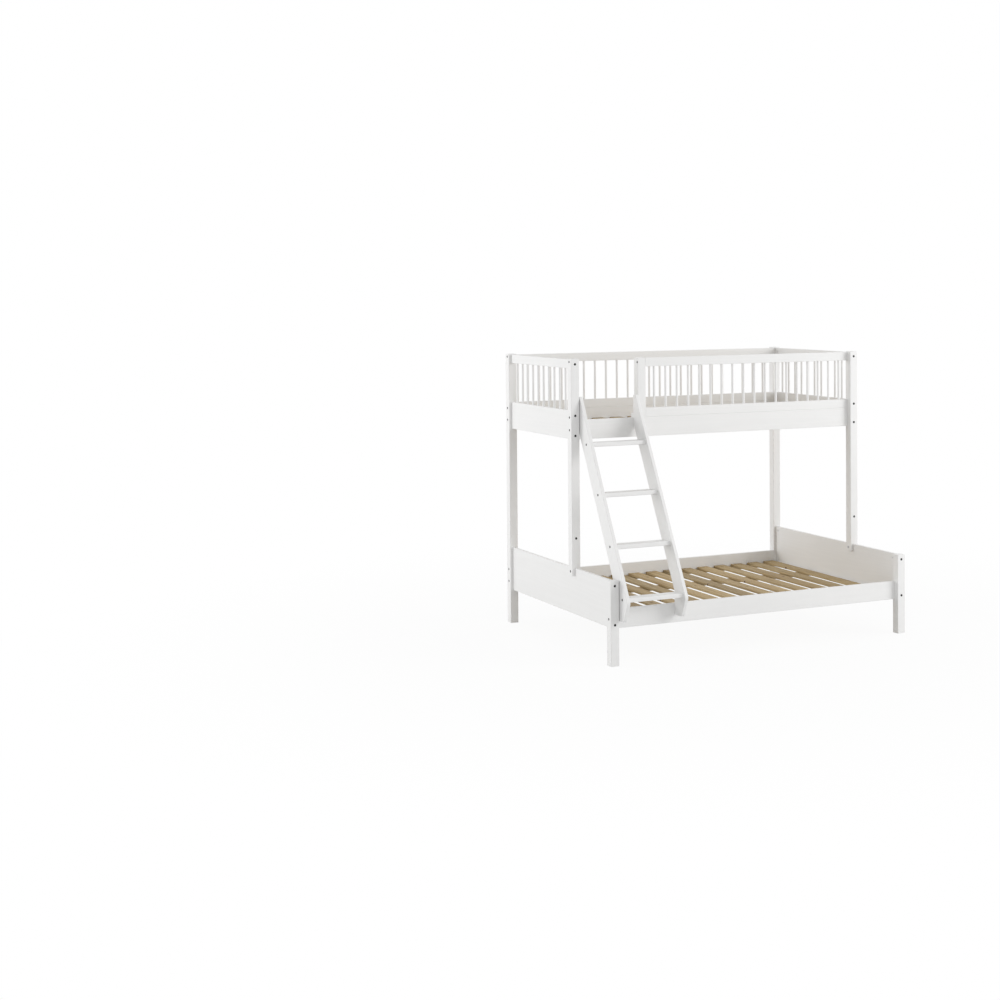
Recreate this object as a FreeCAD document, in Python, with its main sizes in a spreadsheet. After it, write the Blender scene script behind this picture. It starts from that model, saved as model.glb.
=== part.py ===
import FreeCAD, Part
import os
import re
import Sketcher

# Bunk bed of painted wood: a wide lower bed, a narrow upper bed with a spindle guard, and a
# ladder that leans on both front rails and hooks over the upper one.
# Lengths are millimetres. x runs along the bed from its left outer face, depth runs forward
# from its back face and height runs up from the floor.
# The model's origin is on the floor under the middle of the whole bed, with its front at -Y.

Vector = FreeCAD.Vector
Rotation = FreeCAD.Rotation
Placement = FreeCAD.Placement

SIZES = {
    # Outer frame: a 2000 mm mattress length, 900 mm above and 1400 mm below
    "bed_length": 2090,
    "upper_depth": 1010,
    "lower_depth": 1530,
    "post_side": 55,
    "post_height": 1775,
    "leg_height": 500,
    "post_round": 3,
    # Fork at the foot of an upper front post, astride the lower end panel
    "fork_drop": 45,
    "fork_gap": 0.3,
    "fork_bolt_drop": 21,
    # Long boards
    "rail_thick": 20,
    "board_round": 2,
    "upper_rail_drop": 494,
    "upper_rail_height": 120,
    "guard_board_height": 57,
    "top_rail_height": 55,
    "top_rail_drop": 5,
    "lower_rail_bottom": 215,
    "lower_rail_height": 115,
    "lap_gap": 1.5,
    "rebate_gap": 0.3,
    # End panels and end top rails
    "panel_thick": 18,
    "lower_panel_bottom": 218,
    "upper_panel_rise": 2,
    # Guard stile beside the way up
    "guard_stile_gap": 14,
    "guard_stile_side": 55,
    "guard_stile_drop": 61,
    # Spindles
    "spindle_diameter": 15,
    "tenon_diameter": 10,
    "tenon_length": 12,
    "tenon_gap": 0.2,
    "back_spindle_count": 23,
    "end_spindle_count": 10,
    "guard_spindle_count": 18,
    "guard_spindle_margin": 62.95,
    # Slatted bases
    "slat_count": 15,
    "slat_margin": 104.2,
    "slat_width": 82,
    "slat_thick": 14,
    "slat_drop": 70,
    "slat_end_gap": 4,
    "slat_round": 4,
    "ledger_side": 25,
    # Beam under the lower slats
    "beam_middle": 506,
    "beam_width": 40,
    "beam_height": 26,
    "beam_end_gap": 4,
    "hanger_thick": 2,
    "hanger_reach": 30,
    "hanger_gap": 0.3,
    "hanger_screw_spread": 20,
    # Ladder
    "ladder_x": 58,
    "ladder_width": 404,
    "ladder_rise": 141,
    "ladder_drop": 68,
    "foot_reach": 164.269,
    "ladder_gap": 0.3,
    "stile_thick": 21,
    "stile_width": 111,
    "stile_reach": 107,
    "stile_round": 2,
    "hook_thick": 13,
    "hook_drop": 40,
    "hook_height": 28,
    "hook_gap": 0.6,
    "toe_depth": 84,
    "toe_slope": 0.445,
    "toe_radius": 35,
    "heel_radius": 20,
    "tread_count": 4,
    "tread_first_rise": 62,
    "tread_last_drop": 142,
    "tread_thick": 25,
    "tread_deep": 78,
    "tread_round": 4,
    "tread_dowel_offset": 22,
    # Bolts with flat socket heads, and their barrel nuts
    "bolt_diameter": 6,
    "bolt_gap": 0.3,
    "head_diameter": 15,
    "head_thick": 3,
    "head_sink": 0.5,
    "small_head_diameter": 12,
    "socket_width": 4,
    "socket_deep": 2,
    "nut_diameter": 10,
    "nut_length": 12,
    "nut_gap": 0.2,
    "nut_setback": 28,
    "bolt_past_nut": 8,
    "panel_bolt_low": 24,
    "panel_bolt_high": 29,
    "rail_bolt_rise": 60,
    "guard_bolt_rise": 17,
    "top_bolt_rise": 41,
    "flange_diameter": 18,
    "flange_thick": 2.5,
    # Caps over the nut bores, and the spare bores
    "cap_diameter": 15,
    "cap_thick": 3,
    "cap_gap": 0.1,
    "spare_bore_rise": 79,
    "spare_hole_height": 682,
    "spare_hole_deep": 40,
    # Dowels and screws
    "dowel_diameter": 8,
    "dowel_gap": 0.1,
    "dowel_in_rail": 10,
    "dowel_in_post": 14,
    "rail_dowel_spread": 38,
    "board_dowel_spread": 25,
    "board_dowel_half": 20,
    "back_dowel_count": 5,
    "guard_dowel_count": 4,
    "tread_dowel_half": 12,
    "screw_diameter": 4,
    "screw_head": 8,
    "screw_head_thick": 2.5,
    "screw_gap": 0.1,
    "slat_screw_length": 30,
    "ledger_screw_length": 37,
    "hanger_screw_length": 14,
    "stile_screw_length": 46,
    "stile_screw_spread": 28,
}

# Places that follow from the sizes
PLACES = {
    "half_length": "bed_length / 2",
    "far_side": "bed_length - post_side",
    "upper_inner": "upper_depth - post_side",
    "lower_inner": "lower_depth - post_side",
    "upper_rail_face": "upper_inner + rail_thick",
    "lower_rail_face": "lower_inner + rail_thick",
    "panel_out": "(post_side - panel_thick) / 2",
    "panel_in": "panel_out + panel_thick",
    "lap_start": "panel_in + lap_gap",
    "lap_middle": "(lap_start + post_side) / 2",
    "upper_rail_bottom": "post_height - upper_rail_drop",
    "upper_rail_top": "upper_rail_bottom + upper_rail_height",
    "upper_panel_bottom": "upper_rail_bottom + upper_panel_rise",
    "guard_top": "upper_rail_top + guard_board_height",
    "top_rail_top": "post_height - top_rail_drop",
    "top_rail_bottom": "top_rail_top - top_rail_height",
    "lower_rail_top": "lower_rail_bottom + lower_rail_height",
    "lower_slat_top": "lower_rail_top - slat_drop",
    "upper_slat_top": "upper_rail_top - slat_drop",
    "lower_slat_bottom": "lower_slat_top - slat_thick",
    "upper_slat_bottom": "upper_slat_top - slat_thick",
    "fork_bottom": "leg_height - fork_drop",
    "fork_bolt_height": "leg_height - fork_bolt_drop",
    "ladder_end": "ladder_x + ladder_width",
    "guard_stile_x": "ladder_end + guard_stile_gap",
    "guard_stile_end": "guard_stile_x + guard_stile_side",
    "guard_stile_inner": "upper_rail_face - guard_stile_side",
    "guard_bolt_depth": "upper_rail_face - rail_thick / 2",
    "lower_panel_bolt_low": "lower_panel_bottom + panel_bolt_low",
    "lower_panel_bolt_high": "leg_height - panel_bolt_high",
    "upper_panel_bolt_low": "upper_panel_bottom + panel_bolt_low",
    "upper_panel_bolt_high": "guard_top - panel_bolt_high",
    "end_rail_bolt": "(top_rail_bottom + top_rail_top) / 2",
    "lower_rail_bolt": "lower_rail_bottom + rail_bolt_rise",
    "upper_rail_bolt": "upper_rail_bottom + rail_bolt_rise",
    "guard_board_bolt": "upper_rail_top + guard_bolt_rise",
    "top_rail_bolt": "top_rail_bottom + top_bolt_rise",
    "spare_bore_height": "lower_rail_bolt + spare_bore_rise",
    "guard_board_middle": "(upper_rail_top + guard_top) / 2",
    "nut_bore": "nut_diameter + nut_gap",
    "nut_bore_end": "lap_middle + (nut_length + nut_gap) / 2",
    "bolt_hole": "bolt_diameter + bolt_gap",
    "head_recess": "head_thick + head_sink",
    "head_hole": "head_diameter + bolt_gap",
    "small_head_hole": "small_head_diameter + bolt_gap",
    "frame_bolt_end": "nut_setback + bolt_past_nut",
    "cap_hole": "cap_diameter + cap_gap",
    "dowel_hole": "dowel_diameter + dowel_gap",
    "screw_hole": "screw_diameter + screw_gap",
    "screw_head_hole": "screw_head + screw_gap",
    "tenon_hole": "tenon_diameter + tenon_gap",
    "spindle_length": "top_rail_bottom - guard_top",
    "guard_spindle_span": "far_side - guard_stile_end - 2 * guard_spindle_margin",
    "guard_spindle_pitch": "guard_spindle_span / (guard_spindle_count - 1)",
    "slat_pitch": "(bed_length - 2 * slat_margin) / (slat_count - 1)",
    # Ladder outline: both slanting edges are depth = zero - slope * height, with the front edge
    # stile_reach before the upper rail's top and foot_reach before the lower one's
    "ladder_top": "upper_rail_top + ladder_rise",
    "ladder_bottom": "lower_rail_top - ladder_drop",
    "ladder_run": "lower_rail_face + foot_reach - upper_rail_face - stile_reach",
    "ladder_slope": "ladder_run / (upper_rail_top - lower_rail_top)",
    "tread_first": "lower_rail_top + tread_first_rise",
    "tread_pitch": "(upper_rail_top - tread_last_drop - tread_first) / (tread_count - 1)",
    "stile_depth": "stile_width * sqrt(1 + ladder_slope ^ 2)",
    "stile_front_zero": "upper_rail_face + stile_reach + ladder_slope * upper_rail_top",
    "stile_back_zero": "stile_front_zero - stile_depth",
    "stile_middle_zero": "stile_front_zero - stile_depth / 2",
    "toe_zero": "lower_rail_face + toe_depth - toe_slope * ladder_bottom",
    "toe_height": "(stile_front_zero - toe_zero) / (ladder_slope + toe_slope)",
    "front_inset": "toe_radius * sqrt(1 + ladder_slope ^ 2)",
    "toe_inset": "toe_radius * sqrt(1 + toe_slope ^ 2)",
    "toe_centre": "(stile_front_zero - toe_zero - front_inset + toe_inset) / (ladder_slope + toe_slope)",
    "whole_depth": "stile_front_zero - ladder_slope * toe_centre - front_inset + toe_radius",
    "back_face": "whole_depth / 2",
}

doc = FreeCAD.newDocument("bunk_bed")
nodes = []


# Sheets of sizes and places

def linked(text, own_words=()):
    """Put its sheet's name before each size or place that a text names."""
    def with_sheet(match):
        word = match.group()
        if word in own_words:
            return word
        if word in SIZES:
            return "sizes." + word
        if word in PLACES:
            return "places." + word
        return word
    return re.sub(r"[a-z_]+", with_sheet, text)


sizes = doc.addObject("Spreadsheet::Sheet", "sizes")
for row, (word, value) in enumerate(SIZES.items(), start=1):
    sizes.set(f"A{row}", word)
    sizes.set(f"B{row}", str(value))
    sizes.setAlias(f"B{row}", word)

places = doc.addObject("Spreadsheet::Sheet", "places")
for row, (word, formula) in enumerate(PLACES.items(), start=1):
    places.set(f"A{row}", word)
    places.setAlias(f"B{row}", word)
    places.set(f"B{row}", "=" + linked(formula, PLACES))
doc.recompute()


# Simple solids bound to the sheets

def place(item, x, depth, height):
    """Bind a solid's place: x from the left face, depth from the back, height from the floor."""
    item.setExpression("Placement.Base.x", linked(f"({x}) - half_length"))
    item.setExpression("Placement.Base.y", linked(f"back_face - ({depth})"))
    item.setExpression("Placement.Base.z", linked(height))


def block(name, x, depth, height):
    """A square-edged block between three (from, to) pairs."""
    item = doc.addObject("Part::Box", name)
    item.setExpression("Length", linked(f"({x[1]}) - ({x[0]})"))
    item.setExpression("Width", linked(f"({depth[1]}) - ({depth[0]})"))
    item.setExpression("Height", linked(f"({height[1]}) - ({height[0]})"))
    place(item, x[0], depth[1], height[0])
    return item


TURNS = {
    "right": Rotation(Vector(0, 1, 0), 90),
    "left": Rotation(Vector(0, 1, 0), -90),
    "forward": Rotation(Vector(1, 0, 0), 90),
    "back": Rotation(Vector(1, 0, 0), -90),
    "up": Rotation(),
    "down": Rotation(Vector(1, 0, 0), 180),
    "quarter": Rotation(Vector(0, 0, 1), 90),
}


def rod(name, diameter, x, depth, height):
    """A round bar along the one coordinate that is given as a (from, to) pair."""
    item = doc.addObject("Part::Cylinder", name)
    if isinstance(x, tuple):
        turn, span, x = "right", x, x[0]
    elif isinstance(depth, tuple):
        turn, span, depth = "forward", depth, depth[0]
    else:
        turn, span, height = "up", height, height[0]
    item.setExpression("Radius", linked(f"({diameter}) / 2"))
    item.setExpression("Height", linked(f"({span[1]}) - ({span[0]})"))
    item.Placement = Placement(Vector(), TURNS[turn])
    place(item, x, depth, height)
    return item


def cut(name, base, tools):
    """One solid less a list of others."""
    item = doc.addObject("Part::Cut", name)
    item.Base = base
    if len(tools) == 1:
        item.Tool = tools[0]
    else:
        item.Tool = doc.addObject("Part::MultiFuse", name + "_cuts")
        item.Tool.Shapes = tools
    return item


def rounded(name, base, radius, directions, top_too=False):
    """Round the edges that run along the named axes, and the edges of the top face if asked."""
    doc.recompute()
    top = base.Shape.BoundBox.ZMax
    edges = []
    for number, edge in enumerate(base.Shape.Edges, start=1):
        along = edge.tangentAt(edge.FirstParameter)
        runs = any(abs(getattr(along, axis)) > 0.999 for axis in directions)
        on_top = top_too and abs(edge.BoundBox.ZMin - top) < 1e-6
        if runs or on_top:
            edges.append((number, sizes.get(radius), sizes.get(radius)))
    item = doc.addObject("Part::Fillet", name)
    item.Base = base
    item.Edges = edges
    return item


def mirrored(name, source):
    """The right-hand twin of a left-hand solid."""
    item = doc.addObject("Part::Mirroring", name)
    item.Source = source
    item.Normal = (1, 0, 0)
    return item


def copies(name, master, spots):
    """One node of alike pieces; each spot is x, depth, height and the way the piece points."""
    links = []
    for number, (x, depth, height, way) in enumerate(spots, start=1):
        link = doc.addObject("App::Link", f"{name}_copy_{number}")
        link.LinkedObject = master
        link.LinkTransform = True
        link.Placement = Placement(Vector(), TURNS[way])
        place(link, x, depth, height)
        links.append(link)
    item = doc.addObject("Part::Compound", name)
    item.Links = links
    return item


def node(item, label):
    """Keep a finished sub-part under its own label."""
    item.Label = label
    nodes.append(item)
    return item


def both_ends(spots):
    """Left-hand spots, and the same spots at the bed's right-hand end."""
    twin = {"right": "left", "left": "right"}
    far = [(f"bed_length - ({x})", depth, height, twin.get(way, way)) for x, depth, height, way in spots]
    return spots + far


def shares(start, end, count):
    """Places that share out a stretch evenly, without its two ends."""
    return [f"{start} + ({end} - {start}) * {k} / {count + 1}" for k in range(1, count + 1)]


class Side:
    """One long side: the depth of its posts' inner faces, and the way that leads outwards."""

    def __init__(self, inner, sign):
        self.inner = inner
        self.sign = sign
        self.outward = "forward" if sign == "+" else "back"

    def at(self, distance):
        """The depth at a distance outwards from the posts' inner faces."""
        return f"{self.inner} {self.sign} ({distance})"

    def span(self, start, end):
        """The (from, to) pair of depths between two distances outwards."""
        pair = (self.at(start), self.at(end))
        return pair if self.sign == "+" else pair[::-1]


BACK = Side("post_side", "-")
UPPER_FRONT = Side("upper_inner", "+")
LOWER_FRONT = Side("lower_inner", "+")

# Heights of each long board, of the bolt at its ends and of the dowels beside that bolt
LOWER_RAIL = {
    "span": ("lower_rail_bottom", "lower_rail_top"),
    "bolt": "lower_rail_bolt",
    "dowels": ["lower_rail_bolt - rail_dowel_spread", "lower_rail_bolt + rail_dowel_spread"],
}
BED_RAIL = {
    "span": ("upper_rail_bottom", "upper_rail_top"),
    "bolt": "upper_rail_bolt",
    "dowels": ["upper_rail_bolt - rail_dowel_spread", "upper_rail_bolt + rail_dowel_spread"],
}
GUARD_BOARD = {
    "span": ("upper_rail_top", "guard_top"),
    "bolt": "guard_board_bolt",
    "dowels": ["guard_board_bolt + board_dowel_spread"],
}
TOP_RAIL = {
    "span": ("top_rail_bottom", "top_rail_top"),
    "bolt": "top_rail_bolt",
    "dowels": ["top_rail_bolt - board_dowel_spread"],
}
LEG_BORES = [LOWER_RAIL["bolt"]]
FRONT_BORES = [BED_RAIL["bolt"], GUARD_BOARD["bolt"], TOP_RAIL["bolt"]]
BACK_BORES = LEG_BORES + ["spare_bore_height"] + FRONT_BORES
LOWER_PANEL_BOLTS = ["lower_panel_bolt_low", "lower_panel_bolt_high"]
UPPER_END_BOLTS = ["upper_panel_bolt_low", "upper_panel_bolt_high", "end_rail_bolt"]


# Posts: square bars with rebates for the board ends, nut bores from the end face, bolt holes
# through to the end panels, and fork feet on the two that stand on the lower end panels

def post_cuts(name, side, boards, bores, end_bolts):
    """The rebates, bores and bolt holes of one left-hand post."""
    middle = side.at("post_side / 2")
    tools = []
    for number, board in enumerate(boards, start=1):
        tag = f"{name}_{number}"
        low, high = board["span"]
        tools.append(block(
            tag + "_rebate",
            ("lap_start - rebate_gap", "post_side + rebate_gap"),
            side.span("-rebate_gap", "rail_thick"),
            (f"{low} - rebate_gap", f"{high} + rebate_gap"),
        ))
        tip = side.span("rail_thick", "post_side / 2 + bolt_past_nut + bolt_gap")
        tools.append(rod(tag + "_tip", "bolt_hole", "lap_middle", tip, board["bolt"]))
        pocket = side.span("rail_thick", "rail_thick + dowel_in_post + dowel_gap")
        for height in board["dowels"]:
            tools.append(rod(tag + "_dowel", "dowel_hole", "lap_middle", pocket, height))
    for height in bores:
        tools.append(rod(name + "_bore", "nut_bore", ("0", "nut_bore_end"), middle, height))
        tools.append(rod(name + "_mouth", "cap_hole", ("0", "cap_thick"), middle, height))
    for height in end_bolts:
        through = side.span("0", "post_side")
        recess = side.span("post_side - head_recess", "post_side")
        tools.append(rod(name + "_bolt", "bolt_hole", "post_side / 2", through, height))
        tools.append(rod(name + "_head", "head_hole", "post_side / 2", recess, height))
    return tools


def post_bar(name, side, height):
    """A post's bar with its long edges and its top rounded."""
    bar = block(name + "_square", ("0", "post_side"), side.span("0", "post_side"), height)
    return rounded(name + "_bar", bar, "post_round", "z", top_too=True)


def back_post():
    """A full-height back post, drilled for both beds."""
    boards = [LOWER_RAIL, BED_RAIL, GUARD_BOARD, TOP_RAIL]
    tools = post_cuts("back_post", BACK, boards, BACK_BORES, LOWER_PANEL_BOLTS + UPPER_END_BOLTS)
    return cut("back_post", post_bar("back_post", BACK, ("0", "post_height")), tools)


def front_post(name, boards):
    """An upper front post with a forked foot astride the lower end panel."""
    tools = post_cuts(name, UPPER_FRONT, boards, FRONT_BORES, UPPER_END_BOLTS)
    middle = UPPER_FRONT.at("post_side / 2")
    tools.append(block(
        name + "_slot",
        ("panel_out - fork_gap", "panel_in + fork_gap"),
        UPPER_FRONT.span("-fork_gap", "post_side + fork_gap"),
        ("fork_bottom - fork_gap", "leg_height + fork_gap"),
    ))
    tools.append(rod(name + "_fork_bolt", "bolt_hole", ("0", "post_side"), middle, "fork_bolt_height"))
    tools.append(rod(name + "_fork_head", "head_hole", ("0", "head_recess"), middle, "fork_bolt_height"))
    spare = UPPER_FRONT.span("post_side - spare_hole_deep", "post_side")
    mouth = UPPER_FRONT.span("post_side - cap_thick", "post_side")
    tools.append(rod(name + "_spare", "bolt_hole", "post_side / 2", spare, "spare_hole_height"))
    tools.append(rod(name + "_spare_mouth", "cap_hole", "post_side / 2", mouth, "spare_hole_height"))
    return cut(name, post_bar(name, UPPER_FRONT, ("fork_bottom", "post_height")), tools)


def front_leg():
    """A short leg at a front corner of the lower bed."""
    tools = post_cuts("front_leg", LOWER_FRONT, [LOWER_RAIL], LEG_BORES, LOWER_PANEL_BOLTS)
    return cut("front_leg", post_bar("front_leg", LOWER_FRONT, ("0", "leg_height")), tools)


left_back_post = node(back_post(), "post_back_left")
node(mirrored("back_post_right", left_back_post), "post_back_right")
node(front_post("open_front_post", [BED_RAIL]), "post_front_left")
guarded_front_post = front_post("guarded_front_post", [BED_RAIL, GUARD_BOARD, TOP_RAIL])
node(mirrored("front_post_right", guarded_front_post), "post_front_right")
left_leg = node(front_leg(), "leg_front_left")
node(mirrored("front_leg_right", left_leg), "leg_front_right")


# End panels and end top rails: upright boards whose ends butt on the posts, each held by bolts
# into barrel nuts that are set in from the board's inner face

END_X = ("panel_out", "panel_in")
END_MIDDLE = "post_side / 2"


def end_board(name, front_inner, height, bolts, more):
    """A board across one end, drilled at both ends for its bolts and nuts."""
    board = block(name + "_square", END_X, ("post_side", front_inner), height)
    tools = list(more)
    for bolt in bolts:
        for inner, sign in (("post_side", "+"), (front_inner, "-")):
            ends = Side(inner, sign)
            run = ends.span("0", "frame_bolt_end + bolt_gap")
            seat = ends.at("nut_setback")
            bore = (f"{END_MIDDLE} - (nut_length + nut_gap) / 2", "panel_in")
            tools.append(rod(name + "_bolt", "bolt_hole", END_MIDDLE, run, bolt))
            tools.append(rod(name + "_nut", "nut_bore", bore, seat, bolt))
    return cut(name, rounded(name + "_board", board, "board_round", "y"), tools)


def lower_end_panel():
    """The lower end panel, with the fork bolt's hole and the hanger's screw holes."""
    fork_depth = UPPER_FRONT.at("post_side / 2")
    screw_run = ("panel_in - hanger_screw_length", "panel_in")
    tools = [rod("panel_fork_bolt", "bolt_hole", END_X, fork_depth, "fork_bolt_height")]
    for depth in HANGER_SCREW_DEPTHS:
        tools.append(rod("panel_screw", "screw_hole", screw_run, depth, HANGER_SCREW_HEIGHT))
    height = ("lower_panel_bottom", "leg_height")
    return end_board("lower_panel", "lower_inner", height, LOWER_PANEL_BOLTS, tools)


def spindle_sockets(name, spots, height):
    """Sockets for spindle tenons at a list of (x, depth) spots."""
    return [rod(name + "_socket", "tenon_hole", x, depth, height) for x, depth in spots]


HANGER_SCREW_DEPTHS = [f"beam_middle {sign} hanger_screw_spread / 2" for sign in "-+"]
HANGER_SCREW_HEIGHT = "lower_slat_bottom - beam_height / 2"
BELOW_SPINDLES = ("guard_top - tenon_length - tenon_gap", "guard_top")
ABOVE_SPINDLES = ("top_rail_bottom", "top_rail_bottom + tenon_length + tenon_gap")
END_DEPTHS = shares("post_side", "upper_inner", SIZES["end_spindle_count"])
END_SPOTS = [(END_MIDDLE, depth) for depth in END_DEPTHS]

left_lower_panel = node(lower_end_panel(), "lower_end_panel_left")
node(mirrored("lower_panel_right", left_lower_panel), "lower_end_panel_right")
left_upper_panel = node(end_board(
    "upper_panel", "upper_inner", ("upper_panel_bottom", "guard_top"), UPPER_END_BOLTS[:2],
    spindle_sockets("upper_panel", END_SPOTS, BELOW_SPINDLES),
), "upper_end_panel_left")
node(mirrored("upper_panel_right", left_upper_panel), "upper_end_panel_right")
left_end_rail = node(end_board(
    "end_rail", "upper_inner", TOP_RAIL["span"], UPPER_END_BOLTS[2:],
    spindle_sockets("end_rail", END_SPOTS, ABOVE_SPINDLES),
), "end_top_rail_left")
node(mirrored("end_rail_right", left_end_rail), "end_top_rail_right")


# Slat places and ledger screws, which the rails and ledgers share

MIDDLE_SLAT = (SIZES["slat_count"] - 1) / 2
SLAT_XS = [f"half_length + slat_pitch * {k - MIDDLE_SLAT}" for k in range(SIZES["slat_count"])]
LEDGER_SCREW_XS = [f"{x} + slat_pitch / 2" for x in SLAT_XS[:-1:2]]
SLAT_SCREW_INSET = "ledger_side / 2"
LEDGER_SCREW_REACH = "ledger_screw_length - ledger_side"
BACK_DOWEL_XS = shares("post_side", "far_side", SIZES["back_dowel_count"])
GUARD_DOWEL_XS = shares("guard_stile_end", "far_side", SIZES["guard_dowel_count"])


# Long boards: the rails of both beds, the guard boards and the top rails. Their ends lap into
# the posts' rebates, where a bolt from the inner face and dowels hold them

RIGHT_LAP = "bed_length - lap_start"
WHOLE = ("lap_start", RIGHT_LAP)
GUARDED = ("guard_stile_end", RIGHT_LAP)


def long_board(name, side, board, x, more):
    """A board along one side, drilled where its ends lap into posts."""
    square = block(name + "_square", x, side.span("0", "rail_thick"), board["span"])
    tools = list(more)
    laps = ["lap_middle", "bed_length - lap_middle"]
    for lap in laps if x[0] == "lap_start" else laps[1:]:
        through = side.span("0", "rail_thick")
        recess = side.span("0", "head_recess")
        pocket = side.span("rail_thick - dowel_in_rail - dowel_gap", "rail_thick")
        tools.append(rod(name + "_bolt", "bolt_hole", lap, through, board["bolt"]))
        tools.append(rod(name + "_head", "small_head_hole", lap, recess, board["bolt"]))
        for height in board["dowels"]:
            tools.append(rod(name + "_dowel", "dowel_hole", lap, pocket, height))
    return cut(name, rounded(name + "_board", square, "board_round", "x"), tools)


def ledger_screw_holes(name, side, slat_bottom):
    """Screw holes in a rail's inner face, level with its ledger."""
    reach = side.span("0", LEDGER_SCREW_REACH)
    height = f"{slat_bottom} - ledger_side / 2"
    return [rod(name + "_screw", "screw_hole", x, reach, height) for x in LEDGER_SCREW_XS]


def board_dowel_holes(name, side, xs, up):
    """Dowel holes in the edge where a guard board stands on its bed rail."""
    above = ("upper_rail_top", "upper_rail_top + board_dowel_half + dowel_gap")
    below = ("upper_rail_top - board_dowel_half - dowel_gap", "upper_rail_top")
    span = above if up else below
    middle = side.at("rail_thick / 2")
    return [rod(name + "_board_dowel", "dowel_hole", x, middle, span) for x in xs]


def guard_end_holes(name, height, bottom):
    """The bolt hole and nut bore at the stile's end of a front guard board."""
    run = ("guard_stile_end", "guard_stile_end + frame_bolt_end + bolt_gap")
    bore = (bottom, f"{height} + (nut_length + nut_gap) / 2")
    nut_x = "guard_stile_end + nut_setback"
    return [
        rod(name + "_end_bolt", "bolt_hole", run, "guard_bolt_depth", height),
        rod(name + "_end_nut", "nut_bore", nut_x, "guard_bolt_depth", bore),
    ]


BACK_MIDDLE = BACK.at("rail_thick / 2")
BACK_SPOTS = [(x, BACK_MIDDLE) for x in shares("post_side", "far_side", SIZES["back_spindle_count"])]
GUARD_HALF = (SIZES["guard_spindle_count"] - 1) / 2
GUARD_SPOTS = [
    (f"(guard_stile_end + far_side) / 2 + guard_spindle_pitch * {k - GUARD_HALF}", "guard_bolt_depth")
    for k in range(SIZES["guard_spindle_count"])
]
STILE_SCREW_XS = [f"guard_stile_x + guard_stile_side / 2 {sign} stile_screw_spread / 2" for sign in "-+"]
STILE_SCREW_HEIGHT = "upper_rail_top - guard_stile_drop / 2"
STILE_SCREW_REACH = "stile_screw_length - (guard_stile_side - rail_thick)"
STILE_SCREW_HOLES = [
    rod("rail_stile_screw", "screw_hole", x, UPPER_FRONT.span("0", STILE_SCREW_REACH), STILE_SCREW_HEIGHT)
    for x in STILE_SCREW_XS
]

node(long_board(
    "rail_lower_back", BACK, LOWER_RAIL, WHOLE,
    ledger_screw_holes("rail_lower_back", BACK, "lower_slat_bottom"),
), "lower_back_rail")
node(long_board(
    "rail_lower_front", LOWER_FRONT, LOWER_RAIL, WHOLE,
    ledger_screw_holes("rail_lower_front", LOWER_FRONT, "lower_slat_bottom"),
), "lower_front_rail")
node(long_board(
    "bed_rail_back", BACK, BED_RAIL, WHOLE,
    ledger_screw_holes("bed_rail_back", BACK, "upper_slat_bottom")
    + board_dowel_holes("bed_rail_back", BACK, BACK_DOWEL_XS, False),
), "back_bed_rail")
node(long_board(
    "bed_rail_front", UPPER_FRONT, BED_RAIL, WHOLE,
    ledger_screw_holes("bed_rail_front", UPPER_FRONT, "upper_slat_bottom")
    + board_dowel_holes("bed_rail_front", UPPER_FRONT, GUARD_DOWEL_XS, False)
    + STILE_SCREW_HOLES,
), "front_bed_rail")
node(long_board(
    "board_back", BACK, GUARD_BOARD, WHOLE,
    board_dowel_holes("board_back", BACK, BACK_DOWEL_XS, True)
    + spindle_sockets("board_back", BACK_SPOTS, BELOW_SPINDLES),
), "back_guard_board")
node(long_board(
    "board_front", UPPER_FRONT, GUARD_BOARD, GUARDED,
    board_dowel_holes("board_front", UPPER_FRONT, GUARD_DOWEL_XS, True)
    + spindle_sockets("board_front", GUARD_SPOTS, BELOW_SPINDLES)
    + guard_end_holes("board_front", "guard_board_middle", "upper_rail_top"),
), "guard_board")
node(long_board(
    "top_back", BACK, TOP_RAIL, WHOLE, spindle_sockets("top_back", BACK_SPOTS, ABOVE_SPINDLES),
), "back_top_rail")
node(long_board(
    "top_front", UPPER_FRONT, TOP_RAIL, GUARDED,
    spindle_sockets("top_front", GUARD_SPOTS, ABOVE_SPINDLES)
    + guard_end_holes("top_front", "end_rail_bolt", "top_rail_bottom"),
), "guard_top_rail")


# Guard stile: a square upright on the bed rail beside the way up, with a tongue behind the rail

def guard_stile():
    """The stile, with its tongue, its two bolt holes and its two screw holes."""
    x = ("guard_stile_x", "guard_stile_end")
    depth = ("guard_stile_inner", "upper_rail_face")
    height = ("upper_rail_top - guard_stile_drop", "top_rail_top")
    bar = rounded("stile_bar", block("stile_square", x, depth, height), "post_round", "z", top_too=True)
    tools = [block(
        "stile_rail_seat",
        ("guard_stile_x - rebate_gap", "guard_stile_end + rebate_gap"),
        ("upper_inner", "upper_rail_face + rebate_gap"),
        ("upper_rail_top - guard_stile_drop - rebate_gap", "upper_rail_top"),
    )]
    recess = ("guard_stile_x", "guard_stile_x + head_recess")
    for bolt in ("guard_board_middle", "end_rail_bolt"):
        tools.append(rod("stile_bolt", "bolt_hole", x, "guard_bolt_depth", bolt))
        tools.append(rod("stile_head", "head_hole", recess, "guard_bolt_depth", bolt))
    sunk = ("guard_stile_inner", "guard_stile_inner + screw_head_thick")
    for screw_x in STILE_SCREW_XS:
        through = ("guard_stile_inner", "upper_inner")
        tools.append(rod("stile_screw", "screw_hole", screw_x, through, STILE_SCREW_HEIGHT))
        tools.append(rod("stile_screw_head", "screw_head_hole", screw_x, sunk, STILE_SCREW_HEIGHT))
    return cut("guard_upright", bar, tools)


node(guard_stile(), "guard_stile")


# Spindles: round bars with a thinner tenon at each end

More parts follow.
